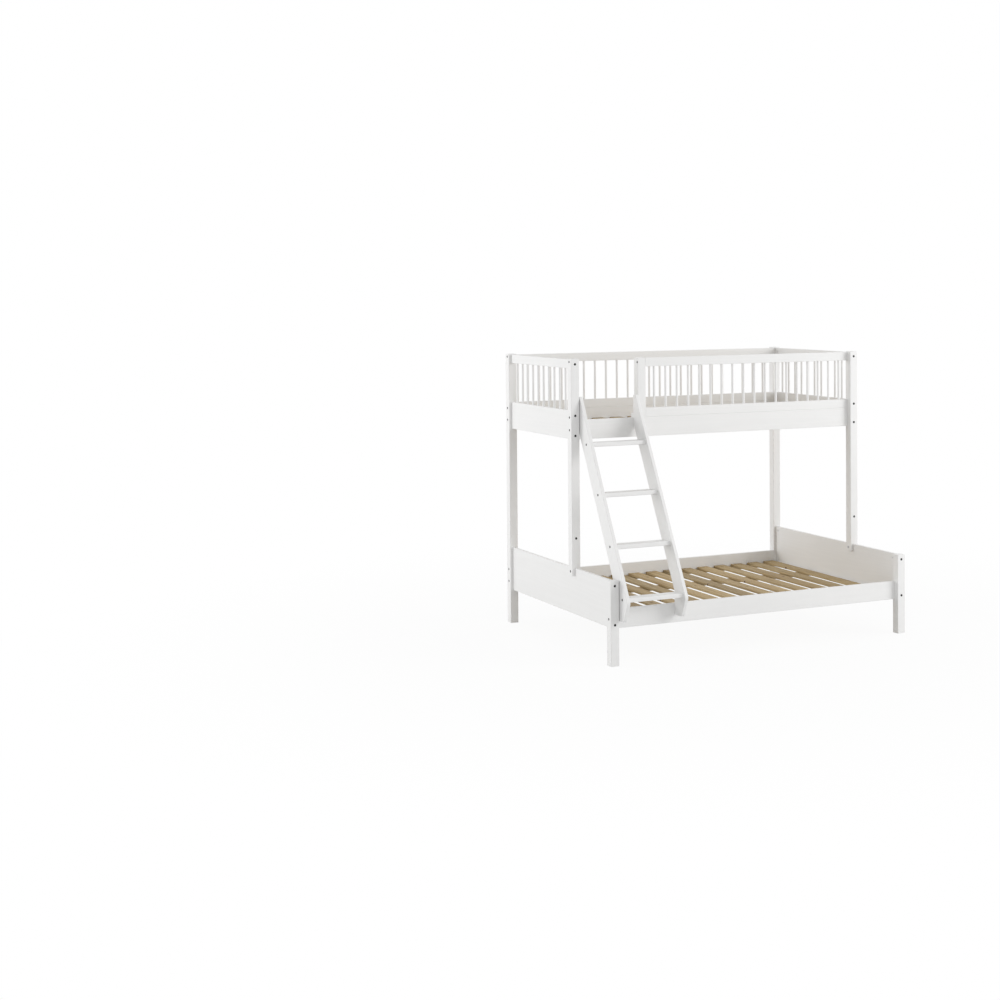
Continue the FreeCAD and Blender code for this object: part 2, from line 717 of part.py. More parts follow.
def spindle():
    """One spindle, standing on the place where it meets the board below."""
    bar = doc.addObject("Part::Cylinder", "spindle_bar")
    bar.setExpression("Radius", linked("spindle_diameter / 2"))
    bar.setExpression("Height", linked("spindle_length"))
    tenons = doc.addObject("Part::Cylinder", "spindle_tenons")
    tenons.setExpression("Radius", linked("tenon_diameter / 2"))
    tenons.setExpression("Height", linked("spindle_length + 2 * tenon_length"))
    tenons.setExpression("Placement.Base.z", linked("-tenon_length"))
    item = doc.addObject("Part::MultiFuse", "spindle_one")
    item.Shapes = [bar, tenons]
    return item


one_spindle = spindle()
for label, spots in (
    ("back_spindles", BACK_SPOTS),
    ("guard_spindles", GUARD_SPOTS),
    ("end_spindles_left", END_SPOTS),
    ("end_spindles_right", [(f"bed_length - ({x})", depth) for x, depth in END_SPOTS]),
):
    standing = [(x, depth, "guard_top", "up") for x, depth in spots]
    node(copies(label, one_spindle, standing), label)


# Ledgers: square battens screwed to the rails' inner faces, which carry the slats' ends

def ledger(name, side, slat_bottom):
    """A ledger, drilled for its own screws and for the slats' screws."""
    height = (f"{slat_bottom} - ledger_side", slat_bottom)
    bar = block(name + "_bar", ("post_side", "far_side"), side.span("-ledger_side", "0"), height)
    tools = []
    for x in LEDGER_SCREW_XS:
        level = f"{slat_bottom} - ledger_side / 2"
        sunk = side.span("-ledger_side", "screw_head_thick - ledger_side")
        tools.append(rod(name + "_screw", "screw_hole", x, side.span("-ledger_side", "0"), level))
        tools.append(rod(name + "_head", "screw_head_hole", x, sunk, level))
    bite = (f"{slat_bottom} + slat_thick - slat_screw_length", slat_bottom)
    for x in SLAT_XS:
        tools.append(rod(name + "_slat_screw", "screw_hole", x, side.at(f"-{SLAT_SCREW_INSET}"), bite))
    return cut(name, bar, tools)


node(ledger("ledger_a", BACK, "lower_slat_bottom"), "ledger_lower_back")
node(ledger("ledger_b", LOWER_FRONT, "lower_slat_bottom"), "ledger_lower_front")
node(ledger("ledger_c", BACK, "upper_slat_bottom"), "ledger_upper_back")
node(ledger("ledger_d", UPPER_FRONT, "upper_slat_bottom"), "ledger_upper_front")


# Slats: flat softwood strips with eased edges, one screw down into the ledger at each end

def slat(name, front_side, slat_bottom):
    """The leftmost slat of one bed, drilled at both ends."""
    x = (f"{SLAT_XS[0]} - slat_width / 2", f"{SLAT_XS[0]} + slat_width / 2")
    depth = (BACK.at("-slat_end_gap"), front_side.at("-slat_end_gap"))
    square = block(name + "_square", x, depth, (slat_bottom, f"{slat_bottom} + slat_thick"))
    tools = []
    for side in (BACK, front_side):
        spot = side.at(f"-{SLAT_SCREW_INSET}")
        through = (slat_bottom, f"{slat_bottom} + slat_thick")
        sunk = (f"{slat_bottom} + slat_thick - screw_head_thick", f"{slat_bottom} + slat_thick")
        tools.append(rod(name + "_screw", "screw_hole", SLAT_XS[0], spot, through))
        tools.append(rod(name + "_head", "screw_head_hole", SLAT_XS[0], spot, sunk))
    return cut(name, rounded(name + "_strip", square, "slat_round", "y"), tools)


def slat_row(name, first):
    """The first slat and its copies along the bed."""
    links = []
    for number in range(SIZES["slat_count"]):
        link = doc.addObject("App::Link", f"{name}_slat_{number + 1}")
        link.LinkedObject = first
        link.setExpression("Placement.Base.x", linked(f"slat_pitch * {number}"))
        links.append(link)
    item = doc.addObject("Part::Compound", name)
    item.Links = links
    return item


node(slat_row("row_lower", slat("slat_low", LOWER_FRONT, "lower_slat_bottom")), "lower_slats")
node(slat_row("row_upper", slat("slat_up", UPPER_FRONT, "upper_slat_bottom")), "upper_slats")


# Beam under the lower slats, carried at each end by a steel hanger on the end panel

BEAM_DEPTH = ("beam_middle - beam_width / 2", "beam_middle + beam_width / 2")
BEAM_HEIGHT = ("lower_slat_bottom - beam_height", "lower_slat_bottom")
BEAM_START = "panel_in + hanger_thick + beam_end_gap"


def hanger():
    """A folded steel box, open at the top and towards the bed's middle."""
    outer = block(
        "hanger_outer",
        ("panel_in", "panel_in + hanger_reach"),
        (f"{BEAM_DEPTH[0]} - hanger_gap - hanger_thick", f"{BEAM_DEPTH[1]} + hanger_gap + hanger_thick"),
        (f"{BEAM_HEIGHT[0]} - hanger_thick", f"{BEAM_HEIGHT[1]} - hanger_thick"),
    )
    tools = [block(
        "hanger_inside",
        ("panel_in + hanger_thick", "panel_in + hanger_reach + hanger_gap"),
        (f"{BEAM_DEPTH[0]} - hanger_gap", f"{BEAM_DEPTH[1]} + hanger_gap"),
        BEAM_HEIGHT,
    )]
    plate = ("panel_in", "panel_in + hanger_thick")
    for depth in HANGER_SCREW_DEPTHS:
        tools.append(rod("hanger_screw", "screw_hole", plate, depth, HANGER_SCREW_HEIGHT))
    return cut("hanger_left", outer, tools)


node(block("beam", (BEAM_START, f"bed_length - ({BEAM_START})"), BEAM_DEPTH, BEAM_HEIGHT), "slat_beam")
left_hanger = node(hanger(), "beam_hanger_left")
node(mirrored("hanger_right", left_hanger), "beam_hanger_right")


# Ladder: two shaped stiles with four flat treads. Each stile's notch sits on the upper bed
# rail with a short hook behind it, and its foot bears on the face of the lower front rail

def stile_outline():
    """Corners of a stile's outline as (depth, height), from the top front corner forwards and down."""
    front = "stile_front_zero - ladder_slope * {}"
    rail_back = "upper_inner - hook_gap"
    hook_back = "upper_inner - hook_thick"
    rail_face = "upper_rail_face + ladder_gap"
    foot_face = "lower_rail_face + ladder_gap"
    notch_top = "upper_rail_top + ladder_gap"
    back_height = "(stile_back_zero - ({})) / ladder_slope"
    return [
        (front.format("ladder_top"), "ladder_top"),
        (front.format("toe_height"), "toe_height"),
        ("lower_rail_face + toe_depth", "ladder_bottom"),
        (foot_face, "ladder_bottom"),
        (foot_face, back_height.format(foot_face)),
        (rail_face, back_height.format(rail_face)),
        (rail_face, notch_top),
        (rail_back, notch_top),
        (rail_back, "upper_rail_top - hook_drop"),
        (hook_back, "upper_rail_top - hook_drop"),
        (hook_back, "upper_rail_top + hook_height"),
        (rail_face, "upper_rail_top + hook_height"),
        (rail_face, "ladder_top"),
    ]


def outline_sketch(body, corners):
    """A closed sketch whose corners are bound to the sheets, in its body's own first plane."""
    sketch = body.newObject("Sketcher::SketchObject", body.Name + "_outline")
    plane = [item for item in body.Origin.OriginFeatures if item.Role == "XY_Plane"][0]
    sketch.AttachmentSupport = [(plane, "")]
    sketch.MapMode = "FlatFace"
    values = [[body.evalExpression(linked(text)) for text in corner] for corner in corners]
    points = [Vector(depth, height, 0) for depth, height in values]
    count = len(points)
    for number in range(count):
        sketch.addGeometry(Part.LineSegment(points[number], points[(number + 1) % count]), False)
    for number in range(count):
        sketch.addConstraint(Sketcher.Constraint("Coincident", number, 2, (number + 1) % count, 1))
    for number, corner in enumerate(corners):
        for kind, text, value in zip(("DistanceX", "DistanceY"), corner, values[number]):
            index = sketch.addConstraint(Sketcher.Constraint(kind, -1, 1, number, 1, value))
            sketch.setExpression(f"Constraints[{index}]", linked(text))
    return sketch


def straight_edges_at(shape, depth, height):
    """Names of the edges across a stile's thickness that pass through one corner."""
    names = []
    for number, edge in enumerate(shape.Edges, start=1):
        middle = edge.CenterOfMass
        if abs(middle.x - depth) < 1e-3 and abs(middle.y - height) < 1e-3:
            names.append(f"Edge{number}")
    return names


def slanting_edges(shape):
    """Names of the long edges that lean with the ladder."""
    lean = Vector(-places.get("ladder_slope"), 1, 0).normalize()
    names = []
    for number, edge in enumerate(shape.Edges, start=1):
        along = edge.tangentAt(edge.FirstParameter)
        if abs(along.dot(lean)) > 0.9999 and edge.Length > sizes.get("stile_width"):
            names.append(f"Edge{number}")
    return names


def stile_board(name, x):
    """A stile's board: its outline padded, with the toe, the heel and the long edges rounded."""
    corners = stile_outline()
    body = doc.addObject("PartDesign::Body", name)
    body.Placement = Placement(Vector(), Rotation(Vector(0, -1, 0), Vector(0, 0, 1), Vector(-1, 0, 0)))
    place(body, f"{x} + stile_thick", "0", "0")
    pad = body.newObject("PartDesign::Pad", name + "_pad")
    pad.Profile = outline_sketch(body, corners)
    pad.setExpression("Length", linked("stile_thick"))
    doc.recompute()
    for corner, radius in ((corners[1], "toe_radius"), (corners[2], "heel_radius")):
        depth, height = [body.evalExpression(linked(text)) for text in corner]
        base = body.Tip
        fillet = body.newObject("PartDesign::Fillet", f"{name}_{radius}")
        fillet.Base = (base, straight_edges_at(base.Shape, depth, height))
        fillet.setExpression("Radius", linked(radius))
        body.Tip = fillet
        doc.recompute()
    eased = body.newObject("PartDesign::Fillet", name + "_eased")
    eased.Base = (fillet, slanting_edges(fillet.Shape))
    eased.setExpression("Radius", linked("stile_round"))
    body.Tip = eased
    return body


def tread_height(number):
    """The middle height of one tread, counted from the lowest."""
    return f"tread_first + tread_pitch * {number}"


def tread_middle(number):
    """The middle depth of one tread, half-way between the stiles' edges."""
    return f"stile_middle_zero - ladder_slope * ({tread_height(number)})"


def tread_dowels(number):
    """Depths of the two dowels beside one tread's bolt."""
    return [f"{tread_middle(number)} {sign} tread_dowel_offset" for sign in "-+"]


TREADS = range(SIZES["tread_count"])
LEFT_INNER = "ladder_x + stile_thick"
RIGHT_INNER = "ladder_end - stile_thick"


def ladder_stile(name, outer, inner, way):
    """A stile drilled for its treads' bolts and dowels; way leads from its outer face inwards."""
    board = stile_board(name + "_board", outer if way == "+" else inner)
    face = Side(outer, way)
    tools = []
    for number in TREADS:
        height = tread_height(number)
        through = face.span("0", "stile_thick")
        recess = face.span("0", "head_recess")
        pocket = face.span("stile_thick - tread_dowel_half - dowel_gap", "stile_thick")
        tools.append(rod(name + "_bolt", "bolt_hole", through, tread_middle(number), height))
        tools.append(rod(name + "_head", "head_hole", recess, tread_middle(number), height))
        for depth in tread_dowels(number):
            tools.append(rod(name + "_dowel", "dowel_hole", pocket, depth, height))
    return cut(name, board, tools)


def ladder_tread(name, number):
    """A flat tread between the stiles, with a bolt hole, a nut bore and two dowel holes at each end."""
    middle = tread_middle(number)
    height = tread_height(number)
    square = block(
        name + "_square",
        (LEFT_INNER, RIGHT_INNER),
        (f"{middle} - tread_deep / 2", f"{middle} + tread_deep / 2"),
        (f"{height} - tread_thick / 2", f"{height} + tread_thick / 2"),
    )
    tools = []
    for end in (Side(LEFT_INNER, "+"), Side(RIGHT_INNER, "-")):
        run = end.span("0", "frame_bolt_end + bolt_gap")
        bore = (f"{height} - tread_thick / 2", f"{height} + (nut_length + nut_gap) / 2")
        pocket = end.span("0", "tread_dowel_half + dowel_gap")
        tools.append(rod(name + "_bolt", "bolt_hole", run, middle, height))
        tools.append(rod(name + "_nut", "nut_bore", end.at("nut_setback"), middle, bore))
        for depth in tread_dowels(number):
            tools.append(rod(name + "_dowel", "dowel_hole", pocket, depth, height))
    return cut(name, rounded(name + "_board", square, "tread_round", "x"), tools)


node(ladder_stile("stile_left", "ladder_x", LEFT_INNER, "+"), "ladder_stile_left")
node(ladder_stile("stile_right", "ladder_end", RIGHT_INNER, "-"), "ladder_stile_right")
for number in TREADS:
    node(ladder_tread(f"tread_{number + 1}", number), f"ladder_tread_{number + 1}")


# Fasteners: each master stands at the origin and points up, with its head's seat at the origin

def upright(name, diameter, low, length):
    """A round bar on the origin's upright axis."""
    item = doc.addObject("Part::Cylinder", name)
    item.setExpression("Radius", linked(f"({diameter}) / 2"))
    item.setExpression("Height", linked(length))
    item.setExpression("Placement.Base.z", linked(low))
    return item


def bolt(name, head, length):
    """A bolt with a flat round head and a hexagon socket."""
    whole = doc.addObject("Part::MultiFuse", name + "_whole")
    whole.Shapes = [
        upright(name + "_head", head, "-head_thick", "head_thick"),
        upright(name + "_shank", "bolt_diameter", "0", length),
    ]
    socket = doc.addObject("Part::Prism", name + "_socket")
    socket.Polygon = 6
    socket.setExpression("Circumradius", linked("socket_width / sqrt(3)"))
    socket.setExpression("Height", linked("socket_deep"))
    socket.setExpression("Placement.Base.z", linked("-head_thick"))
    return cut(name, whole, [socket])


def barrel_nut(name):
    """A round nut with a cross hole for its bolt, lying on its own middle."""
    across = ("back_face - nut_diameter", "back_face + nut_diameter")
    hole = rod(name + "_hole", "bolt_diameter", "half_length", across, "0")
    return cut(name, upright(name + "_barrel", "nut_diameter", "-nut_length / 2", "nut_length"), [hole])


def screw(name, length):
    """A screw with a flat sunk head whose top is at the origin."""
    item = doc.addObject("Part::MultiFuse", name)
    item.Shapes = [
        upright(name + "_head", "screw_head", "0", "screw_head_thick"),
        upright(name + "_shank", "screw_diameter", "0", length),
    ]
    return item


nut = barrel_nut("nut")

# End panel and end rail bolts, with their nuts
frame_spots = []
frame_nut_spots = []
for heights, front_side in ((LOWER_PANEL_BOLTS, LOWER_FRONT), (UPPER_END_BOLTS, UPPER_FRONT)):
    for height in heights:
        for side in (BACK, front_side):
            inward = "forward" if side is BACK else "back"
            frame_spots.append((END_MIDDLE, side.at("post_side - head_recess"), height, inward))
            frame_nut_spots.append((END_MIDDLE, side.at("-nut_setback"), height, "right"))
frame_bolt = bolt("frame_bolt", "head_diameter", "post_side - head_recess + frame_bolt_end")
node(copies("end_bolts", frame_bolt, both_ends(frame_spots)), "frame_bolts")
node(copies("end_nuts", nut, both_ends(frame_nut_spots)), "frame_bolt_nuts")

# Bolts, nuts and dowels where the long boards lap into the posts
LAPPED_BOTH_ENDS = [
    (BACK, LOWER_RAIL), (BACK, BED_RAIL), (BACK, GUARD_BOARD), (BACK, TOP_RAIL),
    (LOWER_FRONT, LOWER_RAIL), (UPPER_FRONT, BED_RAIL),
]
LAPPED_RIGHT_END = [(UPPER_FRONT, GUARD_BOARD), (UPPER_FRONT, TOP_RAIL)]


def lap_spots(joints):
    """Left-hand spots of the bolts, nuts and dowels of a list of (side, board) joints."""
    bolts = []
    nuts = []
    dowels = []
    for side, board in joints:
        bolts.append(("lap_middle", side.at("head_recess"), board["bolt"], side.outward))
        nuts.append(("lap_middle", side.at("post_side / 2"), board["bolt"], "right"))
        for height in board["dowels"]:
            start = side.at("rail_thick - dowel_in_rail")
            dowels.append(("lap_middle", start, height, side.outward))
    return bolts, nuts, dowels


rail_bolt = bolt("rail_bolt", "small_head_diameter", "post_side / 2 - head_recess + bolt_past_nut")
rail_dowel = upright("rail_dowel", "dowel_diameter", "0", "dowel_in_rail + dowel_in_post")
for label, master, at_both, at_right in zip(
    ("rail_bolts", "rail_bolt_nuts", "rail_dowels"),
    (rail_bolt, nut, rail_dowel),
    lap_spots(LAPPED_BOTH_ENDS),
    lap_spots(LAPPED_RIGHT_END),
):
    spots = both_ends(at_both) + both_ends(at_right)[len(at_right):]
    node(copies("lap_" + label, master, spots), label)

# Fork bolts, with a flanged nut on the fork's inner cheek
fork_depth = UPPER_FRONT.at("post_side / 2")
fork_bolt = bolt("fork_bolt", "head_diameter", "post_side - head_recess + flange_thick")
fork_spots = both_ends([("head_recess", fork_depth, "fork_bolt_height", "right")])
node(copies("foot_bolts", fork_bolt, fork_spots), "fork_bolts")
flange_hole = upright("flange_hole", "bolt_diameter", "0", "flange_thick")
flange = cut("flange", upright("flange_disc", "flange_diameter", "0", "flange_thick"), [flange_hole])
flange_spots = both_ends([("post_side", fork_depth, "fork_bolt_height", "right")])
node(copies("foot_nuts", flange, flange_spots), "fork_bolt_nuts")

# Guard stile bolts, nuts and screws
guard_bolt = bolt("guard_bolt", "head_diameter", "guard_stile_side - head_recess + frame_bolt_end")
guard_heights = ("guard_board_middle", "end_rail_bolt")
node(copies("guard_stile_bolts", guard_bolt, [
    ("guard_stile_x + head_recess", "guard_bolt_depth", height, "right") for height in guard_heights
]), "guard_bolts")
node(copies("guard_stile_nuts", nut, [
    ("guard_stile_end + nut_setback", "guard_bolt_depth", height, "quarter") for height in guard_heights
]), "guard_bolt_nuts")
node(copies("tongue_screws", screw("stile_screw", "stile_screw_length"), [
    (x, "guard_stile_inner", STILE_SCREW_HEIGHT, "forward") for x in STILE_SCREW_XS
]), "stile_screws")

# Dowels between the guard boards and the bed rails
board_dowel = upright("board_dowel", "dowel_diameter", "-board_dowel_half", "2 * board_dowel_half")
board_dowel_spots = [(x, BACK_MIDDLE, "upper_rail_top", "up") for x in BACK_DOWEL_XS]
board_dowel_spots += [(x, "guard_bolt_depth", "upper_rail_top", "up") for x in GUARD_DOWEL_XS]
node(copies("guard_dowels", board_dowel, board_dowel_spots), "board_dowels")

# Screws of the slats, the ledgers and the hangers
SLAT_BEDS = [
    (BACK, "lower_slat_bottom"), (LOWER_FRONT, "lower_slat_bottom"),
    (BACK, "upper_slat_bottom"), (UPPER_FRONT, "upper_slat_bottom"),
]
slat_screw_spots = [
    (x, side.at(f"-{SLAT_SCREW_INSET}"), f"{bottom} + slat_thick", "down")
    for side, bottom in SLAT_BEDS
    for x in SLAT_XS
]
node(copies("base_screws", screw("slat_screw", "slat_screw_length"), slat_screw_spots), "slat_screws")
ledger_screw_spots = [
    (x, side.at("-ledger_side"), f"{bottom} - ledger_side / 2", side.outward)
    for side, bottom in SLAT_BEDS
    for x in LEDGER_SCREW_XS
]
ledger_screw = screw("ledger_screw", "ledger_screw_length")
node(copies("batten_screws", ledger_screw, ledger_screw_spots), "ledger_screws")
hanger_screw_spots = [
    ("panel_in + hanger_thick + screw_head_thick", depth, HANGER_SCREW_HEIGHT, "left")
    for depth in HANGER_SCREW_DEPTHS
]
hanger_screw = screw("hanger_screw_one", "hanger_screw_length")
node(copies("plate_screws", hanger_screw, both_ends(hanger_screw_spots)), "hanger_screws")

# Caps over the nut bores and the spare holes
cap_spots = []
for side, bores in ((BACK, BACK_BORES), (UPPER_FRONT, FRONT_BORES), (LOWER_FRONT, LEG_BORES)):
    cap_spots += [("head_sink", side.at("post_side / 2"), height, "right") for height in bores]
cap_spots.append((END_MIDDLE, UPPER_FRONT.at("post_side - head_sink"), "spare_hole_height", "back"))
cap = upright("cap", "cap_diameter", "0", "cap_thick - head_sink")
node(copies("caps", cap, both_ends(cap_spots)), "bore_caps")

# Ladder bolts, nuts and dowels
ladder_bolt = bolt("ladder_bolt", "head_diameter", "stile_thick - head_recess + frame_bolt_end")
ladder_dowel = upright("ladder_dowel", "dowel_diameter", "-tread_dowel_half", "2 * tread_dowel_half")
ladder_bolt_spots = []
ladder_nut_spots = []
ladder_dowel_spots = []
for number in TREADS:
    middle = tread_middle(number)
    height = tread_height(number)
    ladder_bolt_spots.append(("ladder_x + head_recess", middle, height, "right"))
    ladder_bolt_spots.append(("ladder_end - head_recess", middle, height, "left"))
    for end in (Side(LEFT_INNER, "+"), Side(RIGHT_INNER, "-")):
        ladder_nut_spots.append((end.at("nut_setback"), middle, height, "quarter"))
        for depth in tread_dowels(number):
            ladder_dowel_spots.append((end.at("0"), depth, height, "right"))
node(copies("step_bolts", ladder_bolt, ladder_bolt_spots), "ladder_bolts")
node(copies("step_nuts", nut, ladder_nut_spots), "ladder_bolt_nuts")
node(copies("step_dowels", ladder_dowel, ladder_dowel_spots), "ladder_dowels")


# Check every solid, then write each sub-part under its own name

doc.recompute()
for item in doc.Objects:
    if "Invalid" in item.State or "Error" in item.State:
        raise RuntimeError(f"{item.Name} did not build: {item.State}")
os.makedirs("parts", exist_ok=True)
for item in nodes:
    if item.Shape.isNull() or not item.Shape.isValid():
        raise RuntimeError(f"{item.Label} is not a valid solid")
    item.Shape.exportStep(f"parts/{item.Label}.step")
    print(item.Label, len(item.Shape.Solids), round(item.Shape.Volume))
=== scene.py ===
import math

import bpy
import numpy as np
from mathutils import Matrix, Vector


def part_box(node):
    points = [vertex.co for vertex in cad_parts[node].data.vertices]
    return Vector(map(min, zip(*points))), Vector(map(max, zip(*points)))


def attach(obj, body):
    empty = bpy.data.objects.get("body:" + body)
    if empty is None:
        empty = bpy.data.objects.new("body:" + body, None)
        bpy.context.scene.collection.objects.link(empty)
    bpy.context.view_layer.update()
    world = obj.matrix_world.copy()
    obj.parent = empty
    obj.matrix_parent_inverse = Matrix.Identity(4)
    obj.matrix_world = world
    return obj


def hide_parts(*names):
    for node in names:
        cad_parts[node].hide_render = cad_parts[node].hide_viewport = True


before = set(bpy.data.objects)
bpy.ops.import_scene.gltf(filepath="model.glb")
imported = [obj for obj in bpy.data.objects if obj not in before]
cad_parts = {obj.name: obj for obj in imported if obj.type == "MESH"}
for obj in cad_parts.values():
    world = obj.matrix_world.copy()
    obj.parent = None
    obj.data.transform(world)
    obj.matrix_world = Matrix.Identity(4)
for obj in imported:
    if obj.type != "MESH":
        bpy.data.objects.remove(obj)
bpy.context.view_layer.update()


# Posts, legs and guard stile: square bars of glued softwood, 55 mm a side, with eased long edges.
# They are sanded, primed and sprayed satin white, so the grain shows only as a faint relief.

def shade(tree, kind, sockets=None, **settings):
    """A shader node; sockets holds plain values, or outputs of other nodes to join to."""
    item = tree.nodes.new("ShaderNode" + kind)
    for word, value in settings.items():
        setattr(item, word, value)
    for socket, value in (sockets or {}).items():
        if isinstance(value, bpy.types.NodeSocket):
            tree.links.new(value, item.inputs[socket])
        else:
            item.inputs[socket].default_value = value
    return item


def figure(tree, operation, *values):
    """One sum on outputs and numbers."""
    return shade(tree, "Math", dict(enumerate(values)), operation=operation).outputs[0]


def between(tree, amount, low, high):
    """The straight line from low to high as amount goes from 0 to 1."""
    return shade(tree, "MapRange", {"Value": amount, "To Min": low, "To Max": high}).outputs[0]


def blended(tree, amount, low, high, how="MIX"):
    """Two colours mixed by amount."""
    sockets = {0: amount, 6: low, 7: high}
    return shade(tree, "Mix", sockets, data_type="RGBA", blend_type=how).outputs[2]


def grey(tree, level):
    """One level in all three channels of a colour."""
    return shade(tree, "CombineColor", {0: level, 1: level, 2: level}).outputs[0]


def new_finish(name):
    """A new material, its tree, its main shader and the place on the piece in metres."""
    material = bpy.data.materials.new(name)
    material.use_nodes = True
    tree = material.node_tree
    where = tree.nodes.new("ShaderNodeTexCoord").outputs["Object"]
    return material, tree, tree.nodes["Principled BSDF"], where


def speckle(tree, where, scale, detail=2.0, stretch=(1, 1, 1)):
    """Soft noise from 0 to 1; a stretch below 1 draws it out along that axis."""
    at = shade(tree, "Mapping", {"Vector": where, "Scale": stretch}).outputs[0]
    return shade(tree, "TexNoise", {"Vector": at, "Scale": scale, "Detail": detail}).outputs[0]


def relief(tree, height, depth, strength, under=None):
    """A bumped normal: height from 0 to 1 stands for depth metres."""
    sockets = {"Height": height, "Distance": depth, "Strength": strength}
    if under is not None:
        sockets["Normal"] = under
    return shade(tree, "Bump", sockets).outputs[0]


PAINT_DARK, PAINT_PALE = (0.800, 0.800, 0.795, 1.0), (0.838, 0.836, 0.828, 1.0)
PAINT_ROUGH, PAINT_SHINE = (0.36, 0.50), 0.42
RING_SCALE, RING_WAVES, PORE_SCALE, SPRAY_SCALE, CLOUD_SCALE = 9.0, 70.0, 420.0, 650.0, 2.4
RING_SHADE, RING_SHARE = 0.988, 0.6
GRAIN_DEPTH, SPRAY_DEPTH, PAINT_BUMP = 0.0002, 0.0001, 0.25


def painted_wood(name, stretch, lean=0.0):
    """Satin white paint over wood whose grain runs along the axis that stretch draws out.

    Year rings are contour lines of a slow noise, sin(70 * noise); pores are a much finer noise,
    drawn out alike. The paint sinks a little into both, and a fine even noise on top is the
    texture of the spray coat.
    """
    material, tree, shader, where = new_finish(name)
    if lean:
        turn = {"Vector": where, "Angle": lean}
        where = shade(tree, "VectorRotate", turn, rotation_type="X_AXIS").outputs[0]
    slow = speckle(tree, where, RING_SCALE, 1.0, stretch)
    wave = figure(tree, "SINE", figure(tree, "MULTIPLY", slow, RING_WAVES))
    rings = between(tree, wave, 0.0, 1.0)
    pores = speckle(tree, where, PORE_SCALE, 3.0, stretch)
    spray = speckle(tree, where, SPRAY_SCALE)
    tone = blended(tree, speckle(tree, where, CLOUD_SCALE), PAINT_DARK, PAINT_PALE)
    shaded = grey(tree, between(tree, rings, RING_SHADE, 1.0))
    tree.links.new(blended(tree, 1.0, tone, shaded, "MULTIPLY"), shader.inputs["Base Color"])
    tree.links.new(between(tree, spray, *PAINT_ROUGH), shader.inputs["Roughness"])
    ring_part = figure(tree, "MULTIPLY", rings, RING_SHARE)
    pore_part = figure(tree, "MULTIPLY", pores, 1 - RING_SHARE)
    grain = relief(tree, figure(tree, "ADD", ring_part, pore_part), GRAIN_DEPTH, PAINT_BUMP)
    coat = relief(tree, spray, SPRAY_DEPTH, PAINT_BUMP, grain)
    tree.links.new(coat, shader.inputs["Normal"])
    shader.inputs["Specular IOR Level"].default_value = PAINT_SHINE
    return material


def dress(material, *names):
    """Gives sub-parts their finish."""
    for name in names:
        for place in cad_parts[name].material_slots:
            place.material = material


SIDES = ("left", "right")
ALONG_PAINT = 0.04
upright_paint = painted_wood("paint_on_uprights", (1, 1, ALONG_PAINT))
dress(upright_paint, "guard_stile")
for side in SIDES:
    dress(upright_paint, f"post_back_{side}", f"post_front_{side}", f"leg_front_{side}")


# End panels and end top rails: wide glued boards, 18 mm thick, grain running from back to front.
# Their ends stand between the posts, held by bolts into barrel nuts.

end_paint = painted_wood("paint_on_end_boards", (1, ALONG_PAINT, 1))
for side in SIDES:
    dress(end_paint, f"lower_end_panel_{side}", f"upper_end_panel_{side}", f"end_top_rail_{side}")


# Long boards: the rails of both beds, the guard boards and the top rails, 20 mm thick.
# Grain runs along the bed, and their ends lap into the posts.

board_paint = painted_wood("paint_on_long_boards", (ALONG_PAINT, 1, 1))
dress(board_paint, "lower_back_rail", "lower_front_rail")
dress(board_paint, "back_bed_rail", "back_guard_board", "back_top_rail")
dress(board_paint, "front_bed_rail", "guard_board", "guard_top_rail")


# Spindles: turned round bars, 15 mm thick, sprayed white with the boards.
# A 10 mm tenon at each end is glued into the board below and the rail above.

CROSS_ARM = 0.3
SHARP_EDGE = math.radians(35)


def turned(name, profile, seats, ways, sides=24):
    """Like pieces turned on a lathe, one at each seat, as one mesh.

    A point is seat + along * way + radius * outline(angle) * (cos(angle) * u + sin(angle) * v).
    The profile's rows are (radius, along, corners), u and v are square to way, and a flat face
    closes each end. The outline is round, hexagonal for 6 corners, and a cross for 4.
    """
    radius, along, corners = np.array(profile, float).T
    angle = np.arange(sides) * 2 * np.pi / sides
    hexagon = math.cos(np.pi / 6) / np.cos((angle + np.pi / 6) % (np.pi / 3) - np.pi / 6)
    turn = np.abs((angle + np.pi / 4) % (np.pi / 2) - np.pi / 4)
    cross = np.minimum(1.0, CROSS_ARM / np.maximum(np.sin(turn), 0.01))
    outline = np.where(corners[:, None] == 6, hexagon, np.where(corners[:, None] == 4, cross, 1.0))
    seats = np.asarray(seats, float)
    ways = np.broadcast_to(np.asarray(ways, float), seats.shape)
    level = np.where(np.abs(ways[:, 2:]) > 0.9, (1.0, 0.0, 0.0), (0.0, 0.0, 1.0))
    u = np.cross(level, ways)
    u /= np.linalg.norm(u, axis=1, keepdims=True)
    v = np.cross(ways, u)
    reach = radius[:, None] * outline
    points = (
        seats[:, None, None, :]
        + along[None, :, None, None] * ways[:, None, None, :]
        + (reach * np.cos(angle))[None, :, :, None] * u[:, None, None, :]
        + (reach * np.sin(angle))[None, :, :, None] * v[:, None, None, :]
    )
    count, rings = len(seats), len(radius)
    number = np.arange(count * rings * sides).reshape(count, rings, sides)
    after = np.roll(number, -1, axis=2)
    walls = np.stack([number[:, :-1], after[:, :-1], after[:, 1:], number[:, 1:]], axis=-1)
    faces = walls.reshape(-1, 4).tolist() + number[:, 0, ::-1].tolist() + number[:, -1].tolist()
    mesh = bpy.data.meshes.new(name)
    mesh.from_pydata(points.reshape(-1, 3).tolist(), [], faces)
    mesh.shade_smooth()
    mesh.set_sharp_from_angle(angle=SHARP_EDGE)
    piece = bpy.data.objects.new(name, mesh)
    bpy.context.scene.collection.objects.link(piece)
    return piece


